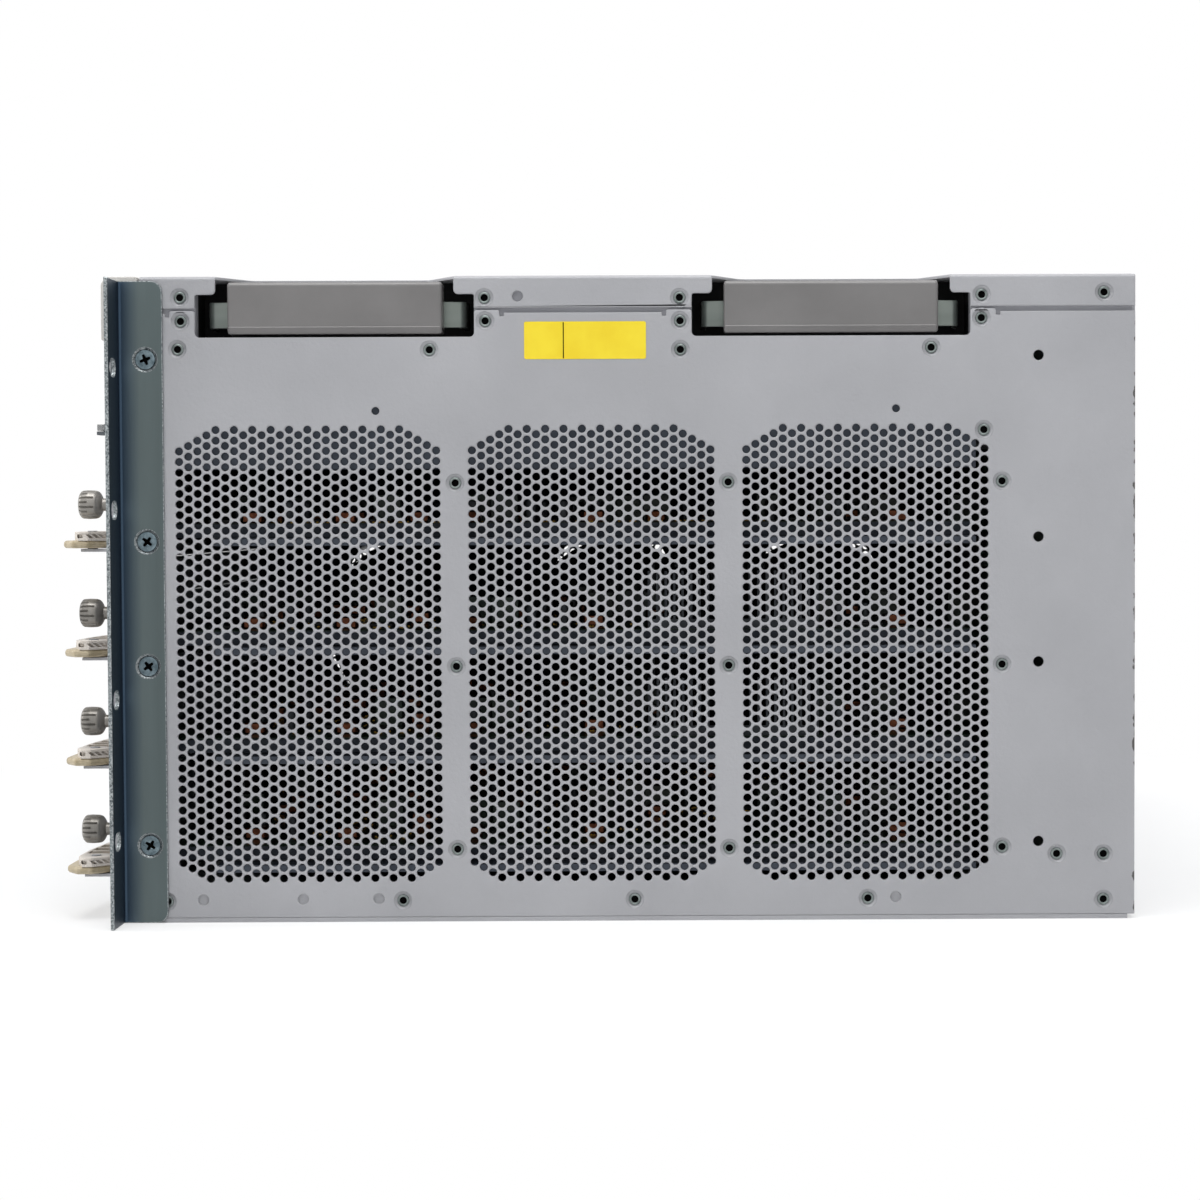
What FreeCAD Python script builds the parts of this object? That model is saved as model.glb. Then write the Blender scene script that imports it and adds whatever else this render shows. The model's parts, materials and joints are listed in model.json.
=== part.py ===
"""Six rack-unit modular network switch: sheet-metal chassis, cards, power supplies, fan tray.

Frame: +X to the right of the chassis as its side with the outer handles is seen, +Y to the
rear, +Z up. The origin is the middle of the underside, and the cards come out towards -Y.
"""
import FreeCAD, Part
import math
import os
import Sketcher

doc = FreeCAD.newDocument("modular_chassis")
sheet = doc.addObject("Spreadsheet::Sheet", "sizes")

SIZES = [
    ("rack_width", 482.6, "over the two rack ears, as 19-inch racks have it"),
    ("ear_reach", 21.6, "rack ear beyond the side panel"),
    ("body_height", 262.7, "six rack units less the stacking gap"),
    ("body_depth", 414.7, "front plane to rear panel"),
    ("gauge", 1.2, "sheet of the panels"),
    ("tray_gauge", 1.8, "sheet of the base tray"),
    ("tray_flange", 12.2, "inner flanges of the tray, above its floor"),
    ("tray_setback", 3.0, "tray ends this far ahead of the rear panel"),
    ("seat_gap", 0.3, "air between pieces that come apart"),
    ("panel_top", 248.8, "top edge of the side panels"),
    ("seam", 0.9, "slit between side panel and cover"),
    ("bezel_depth", 10.6, "front bezel, front to back"),
    ("bezel_proud", 3.6, "front bezel ahead of the front plane"),
    ("bezel_foot", 237.0, "lower edge of the bezel"),
    ("cover_front", 11.0, "front edge of the cover, behind the front plane"),
    ("handle_front", 89.9, "front handle's middle, behind the front plane"),
    ("handle_spacing", 201.3, "front handle to rear handle"),
    ("recess_width", 113.0, "handle recess in the side panel"),
    ("recess_floor", 238.0, "lower edge of the handle recess"),
    ("notch_width", 96.5, "upper part of the notch in the cover's flange"),
    ("notch_step", 256.5, "height of the step in that notch"),
    ("notch_depth", 21.0, "how far the notch reaches into the top"),
    ("pocket_depth", 22.5, "panel's inner face to the pocket's back wall"),
    ("rail_drop", 21.0, "height of the rail behind the seam"),
    ("grip_length", 87.0, "moulded handle grip"),
    ("grip_foot", 239.3, "underside of the grip"),
    ("grip_height", 21.9, "grip, bottom to top"),
    ("grip_depth", 12.0, "grip, face to back"),
    ("strap_length", 105.4, "steel strap behind the grip"),
    ("strap_foot", 242.3, "underside of the strap"),
    ("strap_height", 10.6, "strap, bottom to top"),
    ("strap_gauge", 1.5, "strap thickness"),
    ("strap_recess", 9.9, "side plane to the strap's outer face"),
    ("strap_bend", 3.0, "outside radius of the strap's bends"),
    ("handle_travel", 36.0, "how far a handle pulls out"),
    ("stop_height", 16.0, "stop tab on the strap's inner end"),
    ("ear_gauge", 2.0, "rack ear sheet"),
    ("ear_setback", 1.35, "ear's flange behind the front plane"),
    ("ear_side", 20.5, "ear's plate along the side panel"),
    ("ear_bend", 3.8, "inside radius of the ear's bend"),
    ("ear_corner", 4.7, "rounded rear corners of the ear"),
    ("ear_foot", 0.2, "lower end of the ear"),
    ("ear_height", 262.3, "ear, bottom to top"),
    ("slot_inset", 8.75, "rack slots in from the ears' outer edges"),
    ("slot_middle", 130.05, "height of the middle of the rack slots"),
    ("outer_slots", 190.5, "outer pair of rack slots, apart"),
    ("inner_slots", 76.2, "inner pair of rack slots, apart"),
    ("slot_length", 10.5, "rack slot, end to end"),
    ("slot_width", 7.2, "rack slot, across"),
    ("ear_screw_row", 13.4, "ear screws behind the front plane"),
    ("rear_screw_row", 375.4, "second row of ear positions"),
    ("ear_screw_low", 31.8, "lowest ear screw"),
    ("ear_screw_second", 105.2, "second ear screw"),
    ("ear_screw_third", 156.1, "third ear screw"),
    ("ear_screw_top", 229.8, "highest ear screw"),
    ("ear_screw_head", 8.5, "head across"),
    ("ear_screw_thread", 4.0, "thread across"),
    ("ear_screw_length", 3.4, "head to tip, flush inside the panel"),
    ("vent_pitch", 38.7, "one window for nine pitches of the fine perforation"),
    ("vent_web", 5.7, "sheet left between windows"),
    ("vent_foot", 17.0, "lowest edge of the vents"),
    ("vent_drop", 4.6, "windows' middles below their rows of the fine perforation"),
    ("vent_first", 26.4, "front vent's first column, behind the front plane"),
    ("vent_second", 141.8, "middle vent's first column"),
    ("vent_third", 253.2, "rear vent's first column"),
    ("outlet_slot", 6.0, "air outlet slots of the rear panel, across"),
    ("first_slot", 14.7, "floor of the lowest card slot"),
    ("card_pitch", 44.45, "one rack unit a card"),
    ("plate_height", 43.6, "card faceplate"),
    ("plate_gauge", 1.5, "faceplate sheet"),
    ("plate_return", 8.0, "folded edges of the faceplate"),
    ("card_flange", 14.5, "returns that take the captive screws"),
    ("fan_bay", 48.0, "clear width of the fan bay"),
    ("card_depth", 350.0, "front plane to the end of a card"),
    ("guide_foot", 5.5, "card guide above the slot's floor"),
    ("guide_height", 3.0, "card guide, bottom to top"),
    ("guide_start", 40.0, "card guides begin behind the front plane"),
    ("carrier_flange", 5.5, "upturned edge of the card carrier"),
    ("board_gap", 3.0, "standoffs between carrier and board"),
    ("board_gauge", 1.6, "circuit board"),
    ("port_margin", 6.8, "card's end to its first socket"),
    ("port_wall", 2.2, "wall between two socket mouths"),
    ("block_gap", 3.0, "air between two socket blocks"),
    ("port_mouth_height", 8.6, "socket mouth, bottom to top"),
    ("port_depth", 3.5, "modelled depth of a socket"),
    ("port_proud", 1.0, "socket block ahead of the faceplate"),
    ("block_depth", 22.0, "socket block, front to back"),
    ("block_height", 26.2, "two-row socket block"),
    ("sink_front", 216.0, "heat sink's front end"),
    ("sink_fin", 1.0, "heat sink fin"),
    ("fin_pitch", 3.5, "heat sink fins apart"),
    ("sink_height", 24.0, "heat sink, bottom to top"),
    ("sink_width", 70.0, "heat sink across"),
    ("sink_base", 4.0, "heat sink's base plate"),
    ("sink_place", 40.0, "left heat sink's edge, left of the chassis's middle"),
    ("screw_inset", 10.0, "captive screw from the end of the card's opening"),
    ("screw_height", 22.6, "captive screw above the slot's floor"),
    ("knob_across", 11.5, "captive screw's knob"),
    ("knob_front", 17.8, "knob's end ahead of the front plane"),
    ("knob_length", 9.9, "knob, front to back"),
    ("shaft_across", 6.1, "captive screw's shaft"),
    ("shaft_tip", 9.0, "shaft's end behind the front plane"),
    ("lever_foot", 4.8, "ejector lever above the slot's floor"),
    ("lever_base", 3.1, "lever's lower leaf"),
    ("lever_body", 3.7, "lever's upper leaf"),
    ("lever_reach", 23.8, "lever's nose ahead of the front plane"),
    ("lever_step", 4.6, "upper leaf set back from the nose"),
    ("lever_length", 62.0, "lever, end to end"),
    ("lever_hub", 9.0, "radius round the lever's pin"),
    ("pin_across", 4.0, "lever pin"),
    ("pin_play", 0.1, "radial clearance round a pin"),
    ("lever_round", 2.6, "rounded corners of a lever's leaves"),
    ("lever_cell", 9.0, "hollow between two ribs of the upper leaf"),
    ("lever_rib", 1.4, "ribs and rim of the upper leaf"),
    ("lug_gauge", 1.2, "lug that holds a lever's pin"),
    ("cage_foot", 193.3, "underside of the power shelf"),
    ("cage_height", 43.2, "power cage, bottom to top"),
    ("cage_drop", 8.8, "flange below the power shelf"),
    ("cage_overrun", 5.0, "power cage behind the end of a supply"),
    ("supply_depth", 345.0, "power supply, front to back"),
    ("supply_play", 0.5, "air round a power supply"),
    ("inlet_place", 40.0, "supply's left edge to its mains inlet"),
    ("inlet_foot", 10.0, "mains inlet above the supply's underside"),
    ("inlet_width", 28.0, "mains inlet across"),
    ("inlet_height", 20.5, "mains inlet, bottom to top"),
    ("inlet_depth", 15.0, "mains inlet recess"),
    ("inlet_pin", 10.0, "length of the inlet's pins"),
    ("inlet_pin_height", 4.0, "inlet pin, bottom to top"),
    ("inlet_pin_gauge", 2.0, "inlet pin across"),
    ("loop_reach", 26.0, "pull loop ahead of the front plane"),
    ("loop_place", 10.0, "supply's left edge to its pull loop"),
    ("loop_height", 34.0, "pull loop, bottom to top"),
    ("loop_gauge", 3.0, "pull loop's strap"),
    ("loop_width", 12.0, "pull loop across"),
    ("latch_reach", 12.0, "supply latch ahead of the front plane"),
    ("latch_height", 6.0, "supply latch above the supply's underside"),
    ("latch_thickness", 2.5, "supply latch, bottom to top"),
    ("latch_place", 8.0, "latch's pin in from the supply's right edge"),
    ("latch_pin", 2.0, "latch's pin across"),
    ("latch_lug", 8.0, "lug below the latch, across"),
    ("tongue_reach", 12.0, "blank cover's tongues, front to back"),
    ("tongue_inset", 10.0, "blank cover's edge to its tongues"),
    ("fan_radius", 50.0, "rotor blade tips"),
    ("fan_hub", 20.0, "rotor hub radius"),
    ("fan_gap", 2.0, "housing bore round the blades"),
    ("rotor_depth", 26.0, "rotor hub along its axis"),
    ("rotor_pin", 12.0, "pin that a rotor turns on"),
    ("blade_thickness", 1.8, "rotor blade"),
    ("fan_first", 78.5, "front rotor behind the front plane"),
    ("fan_pitch", 113.25, "rotors apart"),
    ("fan_height", 103.6, "rotor axis"),
    ("fan_depth", 38.0, "fan housing"),
    ("tray_end", 365.0, "fan tray's rear end behind the front plane"),
    ("backplane_front", 358.0, "backplane's face behind the front plane"),
    ("backplane_gauge", 3.5, "backplane board"),
    ("connector_depth", 7.0, "backplane connectors, front to back"),
    ("connector_place", 60.0, "backplane connectors from the chassis's middle"),
    ("connector_width", 70.0, "backplane connector across"),
    ("connector_height", 14.0, "backplane connector, bottom to top"),
]
for row, (alias, value, note) in enumerate(SIZES, 1):
    sheet.set("A%d" % row, note)
    sheet.set("B%d" % row, str(value))
    sheet.setAlias("B%d" % row, alias)
doc.recompute()


class Length:
    """A length that knows both its value and the sheet expression it is bound by."""

    def __init__(self, value, text):
        self.value = value
        self.text = text

    def __float__(self):
        return float(self.value)

    def __add__(self, other):
        other = length(other)
        return Length(self.value + other.value, "(%s + %s)" % (self.text, other.text))

    def __sub__(self, other):
        other = length(other)
        return Length(self.value - other.value, "(%s - %s)" % (self.text, other.text))

    def __mul__(self, factor):
        return Length(self.value * factor, "(%s * %r)" % (self.text, factor))

    def __neg__(self):
        return self * -1

    def __truediv__(self, divisor):
        return self * (1.0 / divisor)


def length(value):
    """Wrap a plain number so that it can stand beside a sheet size."""
    return value if isinstance(value, Length) else Length(value, "%r" % value)


def size(alias):
    """The sheet's cell of this name."""
    return Length(float(sheet.get(alias)), "sizes.%s" % alias)


def bind(item, prop, amount):
    """Give a property its size by expression."""
    item.setExpression(prop, length(amount).text)


# --- building helpers ---------------------------------------------------------------------

PLANES = {"XY": "XY_Plane", "XZ": "XZ_Plane", "YZ": "YZ_Plane"}
NO_TURN = FreeCAD.Rotation()
TURNS = {
    "x": FreeCAD.Rotation(FreeCAD.Vector(0, 1, 0), 90),
    "y": FreeCAD.Rotation(FreeCAD.Vector(1, 0, 0), -90),
    "z": NO_TURN,
}
FLATS = 16
nodes = []


def node(item, label):
    """Name a finished sub-part."""
    item.Label = label
    nodes.append(item)
    return item


def place(item, x, y, z):
    """Bind an object's position."""
    bind(item, ".Placement.Base.x", x)
    bind(item, ".Placement.Base.y", y)
    bind(item, ".Placement.Base.z", z)


def block(name, low, high):
    """A box between two corners."""
    item = doc.addObject("Part::Box", name)
    spans = [length(b) - a for a, b in zip(low, high)]
    for prop, span in zip(("Length", "Width", "Height"), spans):
        bind(item, prop, span)
    place(item, *low)
    return item


def rod(name, start, axis, radius, span):
    """A cylinder from a point along +x, +y or +z."""
    item = doc.addObject("Part::Cylinder", name)
    item.Placement = FreeCAD.Placement(FreeCAD.Vector(), TURNS[axis])
    bind(item, "Radius", radius)
    bind(item, "Height", span)
    place(item, *start)
    return item


def stud(name, start, axis, radius, span, around=False):
    """A small pin of sixteen flats, or the hole that clears such a pin."""
    item = doc.addObject("Part::Prism", name)
    item.Polygon = FLATS
    item.Placement = FreeCAD.Placement(FreeCAD.Vector(), TURNS[axis])
    bind(item, "Circumradius", length(radius) * (1 / math.cos(math.pi / FLATS) if around else 1.0))
    bind(item, "Height", span)
    place(item, *start)
    return item


def ring(middle, radius, around=False):
    """The same small pin or hole as an outline."""
    reach = length(radius) * (1 / math.cos(math.pi / FLATS) if around else 1.0)
    turns = [2 * math.pi * (index + 0.5) / FLATS for index in range(FLATS)]
    return [(reach * math.cos(turn) + middle[0], reach * math.sin(turn) + middle[1]) for turn in turns]


def flare(name, start, axis, radius, end_radius, span, around=False):
    """A countersink, or the screw's head that fills it, of the same flats."""
    rings = []
    for reach, along in ((radius, 0.0), (end_radius, span)):
        item = doc.addObject("Part::RegularPolygon", name + "_ring")
        item.Polygon = FLATS
        item.Placement = FreeCAD.Placement(FreeCAD.Vector(), TURNS[axis])
        bind(item, "Circumradius", length(reach) * (1 / math.cos(math.pi / FLATS) if around else 1.0))
        spot = list(start)
        spot["xyz".index(axis)] = length(spot["xyz".index(axis)]) + along
        place(item, *spot)
        rings.append(item)
    item = doc.addObject("Part::Loft", name)
    item.Sections = rings
    item.Solid = True
    item.Ruled = True
    return item


def join(name, parts):
    """One solid out of several that touch."""
    item = doc.addObject("Part::MultiFuse", name)
    item.Shapes = parts
    item.Refine = True
    return item


def group(name, parts):
    """Separate solids that share a node."""
    item = doc.addObject("Part::Compound", name)
    item.Links = parts
    return item


def cut(name, base, tools):
    """A solid less several cutters."""
    item = doc.addObject("Part::Cut", name)
    item.Base = base
    item.Tool = tools[0] if len(tools) == 1 else group(name + "_cutters", tools)
    return item


def mirrored(name, source):
    """The left-hand twin of a right-hand piece."""
    item = doc.addObject("Part::Mirroring", name)
    item.Source = source
    item.Normal = FreeCAD.Vector(1, 0, 0)
    return item


def shifted(name, source, along_y=0.0, along_z=0.0):
    """A copy of a piece further along the row or up the stack."""
    item = doc.addObject("Part::Compound", name)
    item.Links = [source]
    place(item, 0.0, along_y, along_z)
    return item


def dimension(sketch, wanted):
    """Dimensions of a sketch, each bound to the sheet: kind, geometry and amount."""
    first = sketch.ConstraintCount
    constraints = []
    for index, (kind, target, amount) in enumerate(wanted, first):
        constraint = Sketcher.Constraint(kind, *target, float(amount))
        constraint.Name = "size%d" % index
        constraints.append(constraint)
    sketch.addConstraint(constraints)
    for constraint, (_, _, amount) in zip(constraints, wanted):
        sketch.setExpression("Constraints." + constraint.Name, length(amount).text)


def located(geometry, point, at):
    """The two dimensions that hold one point of a sketch."""
    return [("DistanceX", (-1, 1, geometry, point), at[0]),
            ("DistanceY", (-1, 1, geometry, point), at[1])]


def draw_outline(sketch, outline):
    """A closed polygon."""
    first = sketch.GeometryCount
    spots = [FreeCAD.Vector(float(a), float(b), 0) for a, b in outline]
    count = len(spots)
    sketch.addGeometry([Part.LineSegment(spots[i], spots[(i + 1) % count]) for i in range(count)])
    meetings = [(first + i, 2, first + (i + 1) % count, 1) for i in range(count)]
    sketch.addConstraint([Sketcher.Constraint("Coincident", *meeting) for meeting in meetings])
    dimension(sketch, sum((located(first + i, 1, outline[i]) for i in range(count)), []))


def draw_circle(sketch, middle, radius):
    """A round hole."""
    spot = FreeCAD.Vector(float(middle[0]), float(middle[1]), 0)
    index = sketch.addGeometry(Part.Circle(spot, FreeCAD.Vector(0, 0, 1), float(radius)))
    dimension(sketch, located(index, 3, middle) + [("Radius", (index,), radius)])


def draw_slot(sketch, middle, span, width):
    """A slot with round ends, along the sketch's first axis."""
    radius = length(width) / 2
    reach = length(span) / 2 - radius
    up = FreeCAD.Vector(0, 0, 1)
    ends = [(length(middle[0]) + reach, middle[1]), (length(middle[0]) - reach, middle[1])]
    first = sketch.GeometryCount
    for turn, end in zip((-math.pi / 2, math.pi / 2), ends):
        spot = FreeCAD.Vector(float(end[0]), float(end[1]), 0)
        sketch.addGeometry(Part.ArcOfCircle(Part.Circle(spot, up, float(radius)), turn, turn + math.pi))
    right, left = [FreeCAD.Vector(float(a), float(b), 0) for a, b in ends]
    rise = FreeCAD.Vector(0, float(radius), 0)
    sketch.addGeometry(Part.LineSegment(right + rise, left + rise))
    sketch.addGeometry(Part.LineSegment(left - rise, right - rise))
    meetings = ((first, 2, first + 2, 1), (first + 2, 2, first + 1, 1),
                (first + 1, 2, first + 3, 1), (first + 3, 2, first, 1))
    for meeting in meetings:
        sketch.addConstraint(Sketcher.Constraint("Tangent", *meeting))
    sketch.addConstraint(Sketcher.Constraint("Equal", first, first + 1))
    ends_held = located(first, 3, ends[0]) + located(first + 1, 3, ends[1])
    dimension(sketch, [("Radius", (first,), radius)] + ends_held)


def sketch_on(body, plane, offset):
    """A sketch parallel to one of the body's own origin planes, at a height along +axis."""
    sketch = body.newObject("Sketcher::SketchObject", body.Name + "_sketch")
    base = [f for f in body.Origin.OriginFeatures if f.Role == PLANES[plane]][0]
    sketch.AttachmentSupport = [(base, "")]
    sketch.MapMode = "FlatFace"
    shift = -length(offset) if plane == "XZ" else length(offset)
    bind(sketch, "AttachmentOffset.Base.z", shift)
    return sketch


def pad(body, plane, start, end, outline):
    """Raise an outline from start to end along the plane's own axis."""
    sketch = sketch_on(body, plane, start)
    draw_outline(sketch, outline)
    feature = body.newObject("PartDesign::Pad", body.Name + "_pad")
    feature.Profile = sketch
    feature.Reversed = plane == "XZ"
    bind(feature, "Length", length(end) - start)
    body.Tip = feature
    doc.recompute()
    return feature


def pocket(body, plane, start, end, outlines=(), circles=(), slots=()):
    """Sink outlines, circles and slots from start to end along the plane's own axis."""
    before = body.Tip.Shape.Volume
    sketch = sketch_on(body, plane, start)
    for outline in outlines:
        draw_outline(sketch, outline)
    for circle in circles:
        draw_circle(sketch, *circle)
    for slot in slots:
        draw_slot(sketch, *slot)
    feature = body.newObject("PartDesign::Pocket", body.Name + "_pocket")
    feature.Profile = sketch
    feature.Reversed = plane != "XZ"
    bind(feature, "Length", length(end) - start)
    body.Tip = feature
    doc.recompute()
    if feature.Shape.Volume >= before - 0.01:
        raise ValueError("%s cuts nothing" % feature.Name)
    return feature


def new_body(name):
    """An empty body."""
    return doc.addObject("PartDesign::Body", name)


def round_edges(body, direction, spots, radius):
    """Fillet the edges that run along a direction and pass through the given points."""
    base = body.Tip
    axis = {"x": 0, "y": 1, "z": 2}[direction]
    others = [i for i in range(3) if i != axis]
    names = []
    for index, edge in enumerate(base.Shape.Edges, 1):
        ends = [v.Point for v in edge.Vertexes]
        if len(ends) != 2 or any(abs(ends[0][i] - ends[1][i]) > 0.01 for i in others):
            continue
        for spot in spots:
            if all(abs(ends[0][i] - float(s)) < 0.02 for i, s in zip(others, spot)):
                names.append("Edge%d" % index)
    feature = body.newObject("PartDesign::Fillet", body.Name + "_fillet")
    feature.Base = (base, names)
    bind(feature, "Radius", radius)
    body.Tip = feature
    doc.recompute()
    return feature


def rectangle(left, right, bottom, top):
    """The four corners of an upright rectangle."""
    return [(left, bottom), (right, bottom), (right, top), (left, top)]


# --- shared places ------------------------------------------------------------------------

gauge = size("gauge")
gap = size("seat_gap")
height = size("body_height")
side = size("rack_width") / 2 - size("ear_reach")
inside = side - gauge
rear = size("body_depth") / 2
tray_gauge = size("tray_gauge")
recess_half = size("recess_width") / 2
cage_foot = size("cage_foot")
cage_top = cage_foot + size("cage_height")
wall_face = size("fan_bay") - inside + gauge
wall_back = wall_face - gauge
HANDLES = ("front", "rear")
SIDES = ("right", "left")
EAR_SCREWS = ("ear_screw_low", "ear_screw_second", "ear_screw_third", "ear_screw_top")


def behind(amount):
    """A place measured back from the front plane."""
    return length(amount) - rear


def handle_middle(position):
    """The middle of a handle along y."""
    return behind(size("handle_front") + size("handle_spacing") * HANDLES.index(position))


def slot_floor(slot):
    """The floor of a card slot, counted from 0 at the bottom."""
    return size("first_slot") + size("card_pitch") * slot


# --- chassis ------------------------------------------------------------------------------

def base_tray():
    """Floor with inner flanges along both sides and a lip across the front."""
    body = new_body("tray")
    rim = tray_gauge + size("tray_flange")
    inner = inside - gauge
    outline = [(-side, 0), (side, 0), (side, tray_gauge), (inside, tray_gauge), (inside, rim),
               (inner, rim), (inner, tray_gauge), (-inner, tray_gauge), (-inner, rim),
               (-inside, rim), (-inside, tray_gauge), (-side, tray_gauge)]
    pad(body, "XZ", behind(gauge + gap), rear - size("tray_setback"), outline)
    lip = rectangle(-inside, inside, 0, size("first_slot") - gauge)
    pad(body, "XZ", behind(0), behind(gauge + gap), lip)
    node(body, "base_tray")


def vent_windows(name, low_x, high_x):
    """Three staggered fields of hexagonal windows, as cutters through a side panel."""
    pitch = float(size("vent_pitch"))
    radius = (pitch - float(size("vent_web"))) / math.sqrt(3)
    step = pitch * math.sqrt(3) / 2
    foot = float(size("vent_foot"))
    drop = float(size("vent_drop"))
    cutters = []
    for first in ("vent_first", "vent_second", "vent_third"):
        for column in range(3):
            rows = 4 + column % 2
            y = float(behind(size(first))) + radius + step * column
            for row in range(rows):
                z = foot + pitch * (row + 1 - 0.5 * (column % 2)) - drop
                corners = []
                for corner in range(7):
                    turn = math.pi / 3 * corner
                    place_y = y + radius * math.cos(turn)
                    place_z = z + radius * math.sin(turn)
                    corners.append(FreeCAD.Vector(float(low_x) - 1, place_y, place_z))
                face = Part.Face(Part.makePolygon(corners))
                cutters.append(face.extrude(FreeCAD.Vector(float(high_x - low_x) + 2, 0, 0)))
    item = doc.addObject("Part::Feature", name)
    item.Shape = Part.makeCompound(cutters)
    return item


def side_sheet(name):
    """The right side panel's flat sheet, with its two handle recesses and rear ear holes."""
    body = new_body(name)
    floor = size("recess_floor")
    top = size("panel_top")
    outline = [(behind(0), tray_gauge), (rear, tray_gauge), (rear, top)]
    for position in reversed(HANDLES):
        middle = handle_middle(position)
        outline += [(middle + recess_half, top), (middle + recess_half, floor),
                    (middle - recess_half, floor), (middle - recess_half, top)]
    outline.append((behind(0), top))
    pad(body, "YZ", inside, side, outline)
    corners = [(handle_middle(p) + recess_half * s, floor) for p in HANDLES for s in (1, -1)]
    round_edges(body, "x", corners, gauge * 2)
    hole = size("ear_screw_thread") / 2 + size("pin_play")
    row = behind(size("rear_screw_row"))
    pocket(body, "YZ", inside, side, circles=[((row, size(z)), hole) for z in EAR_SCREWS])
    return body


def side_panels():
    """Right panel with its front return, and the left panel, which opens on the fan bay."""
    sheet_body = side_sheet("right_sheet")
    low = (inside - size("card_flange"), behind(0), size("first_slot") - gauge + gap)
    flange = block("right_return", low, (inside, behind(gauge), cage_foot))
    holes = []
    for slot in range(4):
        start = (inside - size("screw_inset"), behind(-1), slot_floor(slot) + size("screw_height"))
        holes.append(stud("right_return_hole", start, "y", size("shaft_across") / 2 + gap, gauge * 3, True))
    pierced = cut("pierced_return", flange, holes)
    openings = [vent_windows("vent_windows", inside, side)]
    thread = size("ear_screw_thread") / 2 + size("pin_play")
    for level in EAR_SCREWS:
        start = (inside - gauge, behind(size("ear_screw_row")), size(level))
        openings.append(stud("ear_thread", start, "x", thread, gauge * 3, True))
    vented = cut("vented_sheet", sheet_body, openings)
    node(group("right_panel", [vented, pierced]), "right_side_panel")
    left = cut("left_panel_twin", sheet_body, openings)
    node(mirrored("left_panel", left), "left_side_panel")


def top_cover():
    """Folded cover: flanges down both sides, notched for the four handles."""
    body = new_body("cover")
    start = behind(size("cover_front"))
    skirt = size("panel_top") + size("seam")
    outline = [(-side, skirt), (-inside, skirt), (-inside, height - gauge),
               (inside, height - gauge), (inside, skirt), (side, skirt), (side, height),
               (-side, height)]
    pad(body, "XZ", start, rear, outline)
    step = size("notch_step")
    upper = size("notch_width") / 2
    throats = []
    mouths = []
    for position in HANDLES:
        middle = handle_middle(position)
        throats.append([(middle - recess_half, skirt), (middle + recess_half, skirt),
                        (middle + recess_half, step), (middle + upper, step),
                        (middle + upper, height), (middle - upper, height),
                        (middle - upper, step), (middle - recess_half, step)])
        for hand in (1, -1):
            mouths.append([(side * hand, middle - upper), (side * hand, middle + upper),
                           ((side - size("notch_depth")) * hand, middle + upper * 0.75),
                           ((side - size("notch_depth")) * hand, middle - upper * 0.75)])
    pocket(body, "YZ", inside, side, outlines=throats)
    pocket(body, "YZ", -side, -inside, outlines=throats)
    pocket(body, "XY", height - gauge, height, outlines=mouths)
    steps = [(handle_middle(p) + upper * s, step) for p in HANDLES for s in (1, -1)]
    round_edges(body, "x", steps, gauge * 2)
    node(body, "top_cover")


def rear_panel():
    """Flat rear wall with outlet slots behind the four power bays."""
    body = new_body("rear_wall")
    pad(body, "XZ", rear - gauge, rear, rectangle(-inside, inside, tray_gauge, height - gauge))
    slots = []
    for bay in range(4):
        for index in range(5):
            x = bay_left(bay) + bay_width() * ((index + 1) / 6)
            foot = cage_foot + gauge * 4
            half = size("outlet_slot") / 2
            slots.append(rectangle(x - half, x + half, foot, foot + size("cage_height") - gauge * 8))
    pocket(body, "XZ", rear - gauge, rear, outlines=slots)
    node(body, "rear_panel")


def front_bezel():
    """Strip across the top of the front, folded back under the cover's edge."""
    body = new_body("bezel")
    foot = size("bezel_foot")
    skirt = size("panel_top") + size("seam")
    front = behind(-size("bezel_proud"))
    outline = [(front, foot), (front + gauge, foot), (front + gauge, height - gauge),
               (behind(size("bezel_depth")), height - gauge), (behind(size("bezel_depth")), height),
               (front, height)]
    pad(body, "YZ", -side, side, outline)
    for hand in ((inside, side), (-side, -inside)):
        cheek = rectangle(front, behind(size("bezel_depth")), skirt, height)
        pad(body, "YZ", *hand, cheek)
    below = [rectangle(inside, side, foot, skirt), rectangle(-side, -inside, foot, skirt)]
    pocket(body, "XZ", front, front + gauge, outlines=below)
    node(body, "front_bezel")


def bay_width():
    """Clear width of a power bay."""
    return (inside * 2 - gauge * 6) / 4


def bay_left(bay):
    """Left side of a power bay, counted from 0 at the left."""
    return gauge * 1.5 - inside + (bay_width() + gauge) * bay


def power_cage():
    """Shelf, roof and walls of the four power bays, with a stiffening flange below each side."""
    start = behind(gauge + gap)
    end = behind(size("supply_depth") + size("cage_overrun"))
    outer = bay_left(0) - gauge
    sheets = []
    for foot, top in ((cage_foot, cage_foot + gauge), (cage_top - gauge, cage_top)):
        sheets.append(block("cage_level", (outer, start, foot), (-outer, end, top)))
    for bay in range(5):
        wall = bay_left(bay) - gauge
        sheets.append(block("cage_wall", (wall, start, cage_foot + gauge), (wall + gauge, end, cage_top - gauge)))
    for low in (outer, -outer - gauge):
        sheets.append(block("cage_flange", (low, start, cage_foot - size("cage_drop")),
                            (low + gauge, end, cage_foot)))
    node(group("cage", sheets), "power_cage")


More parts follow.
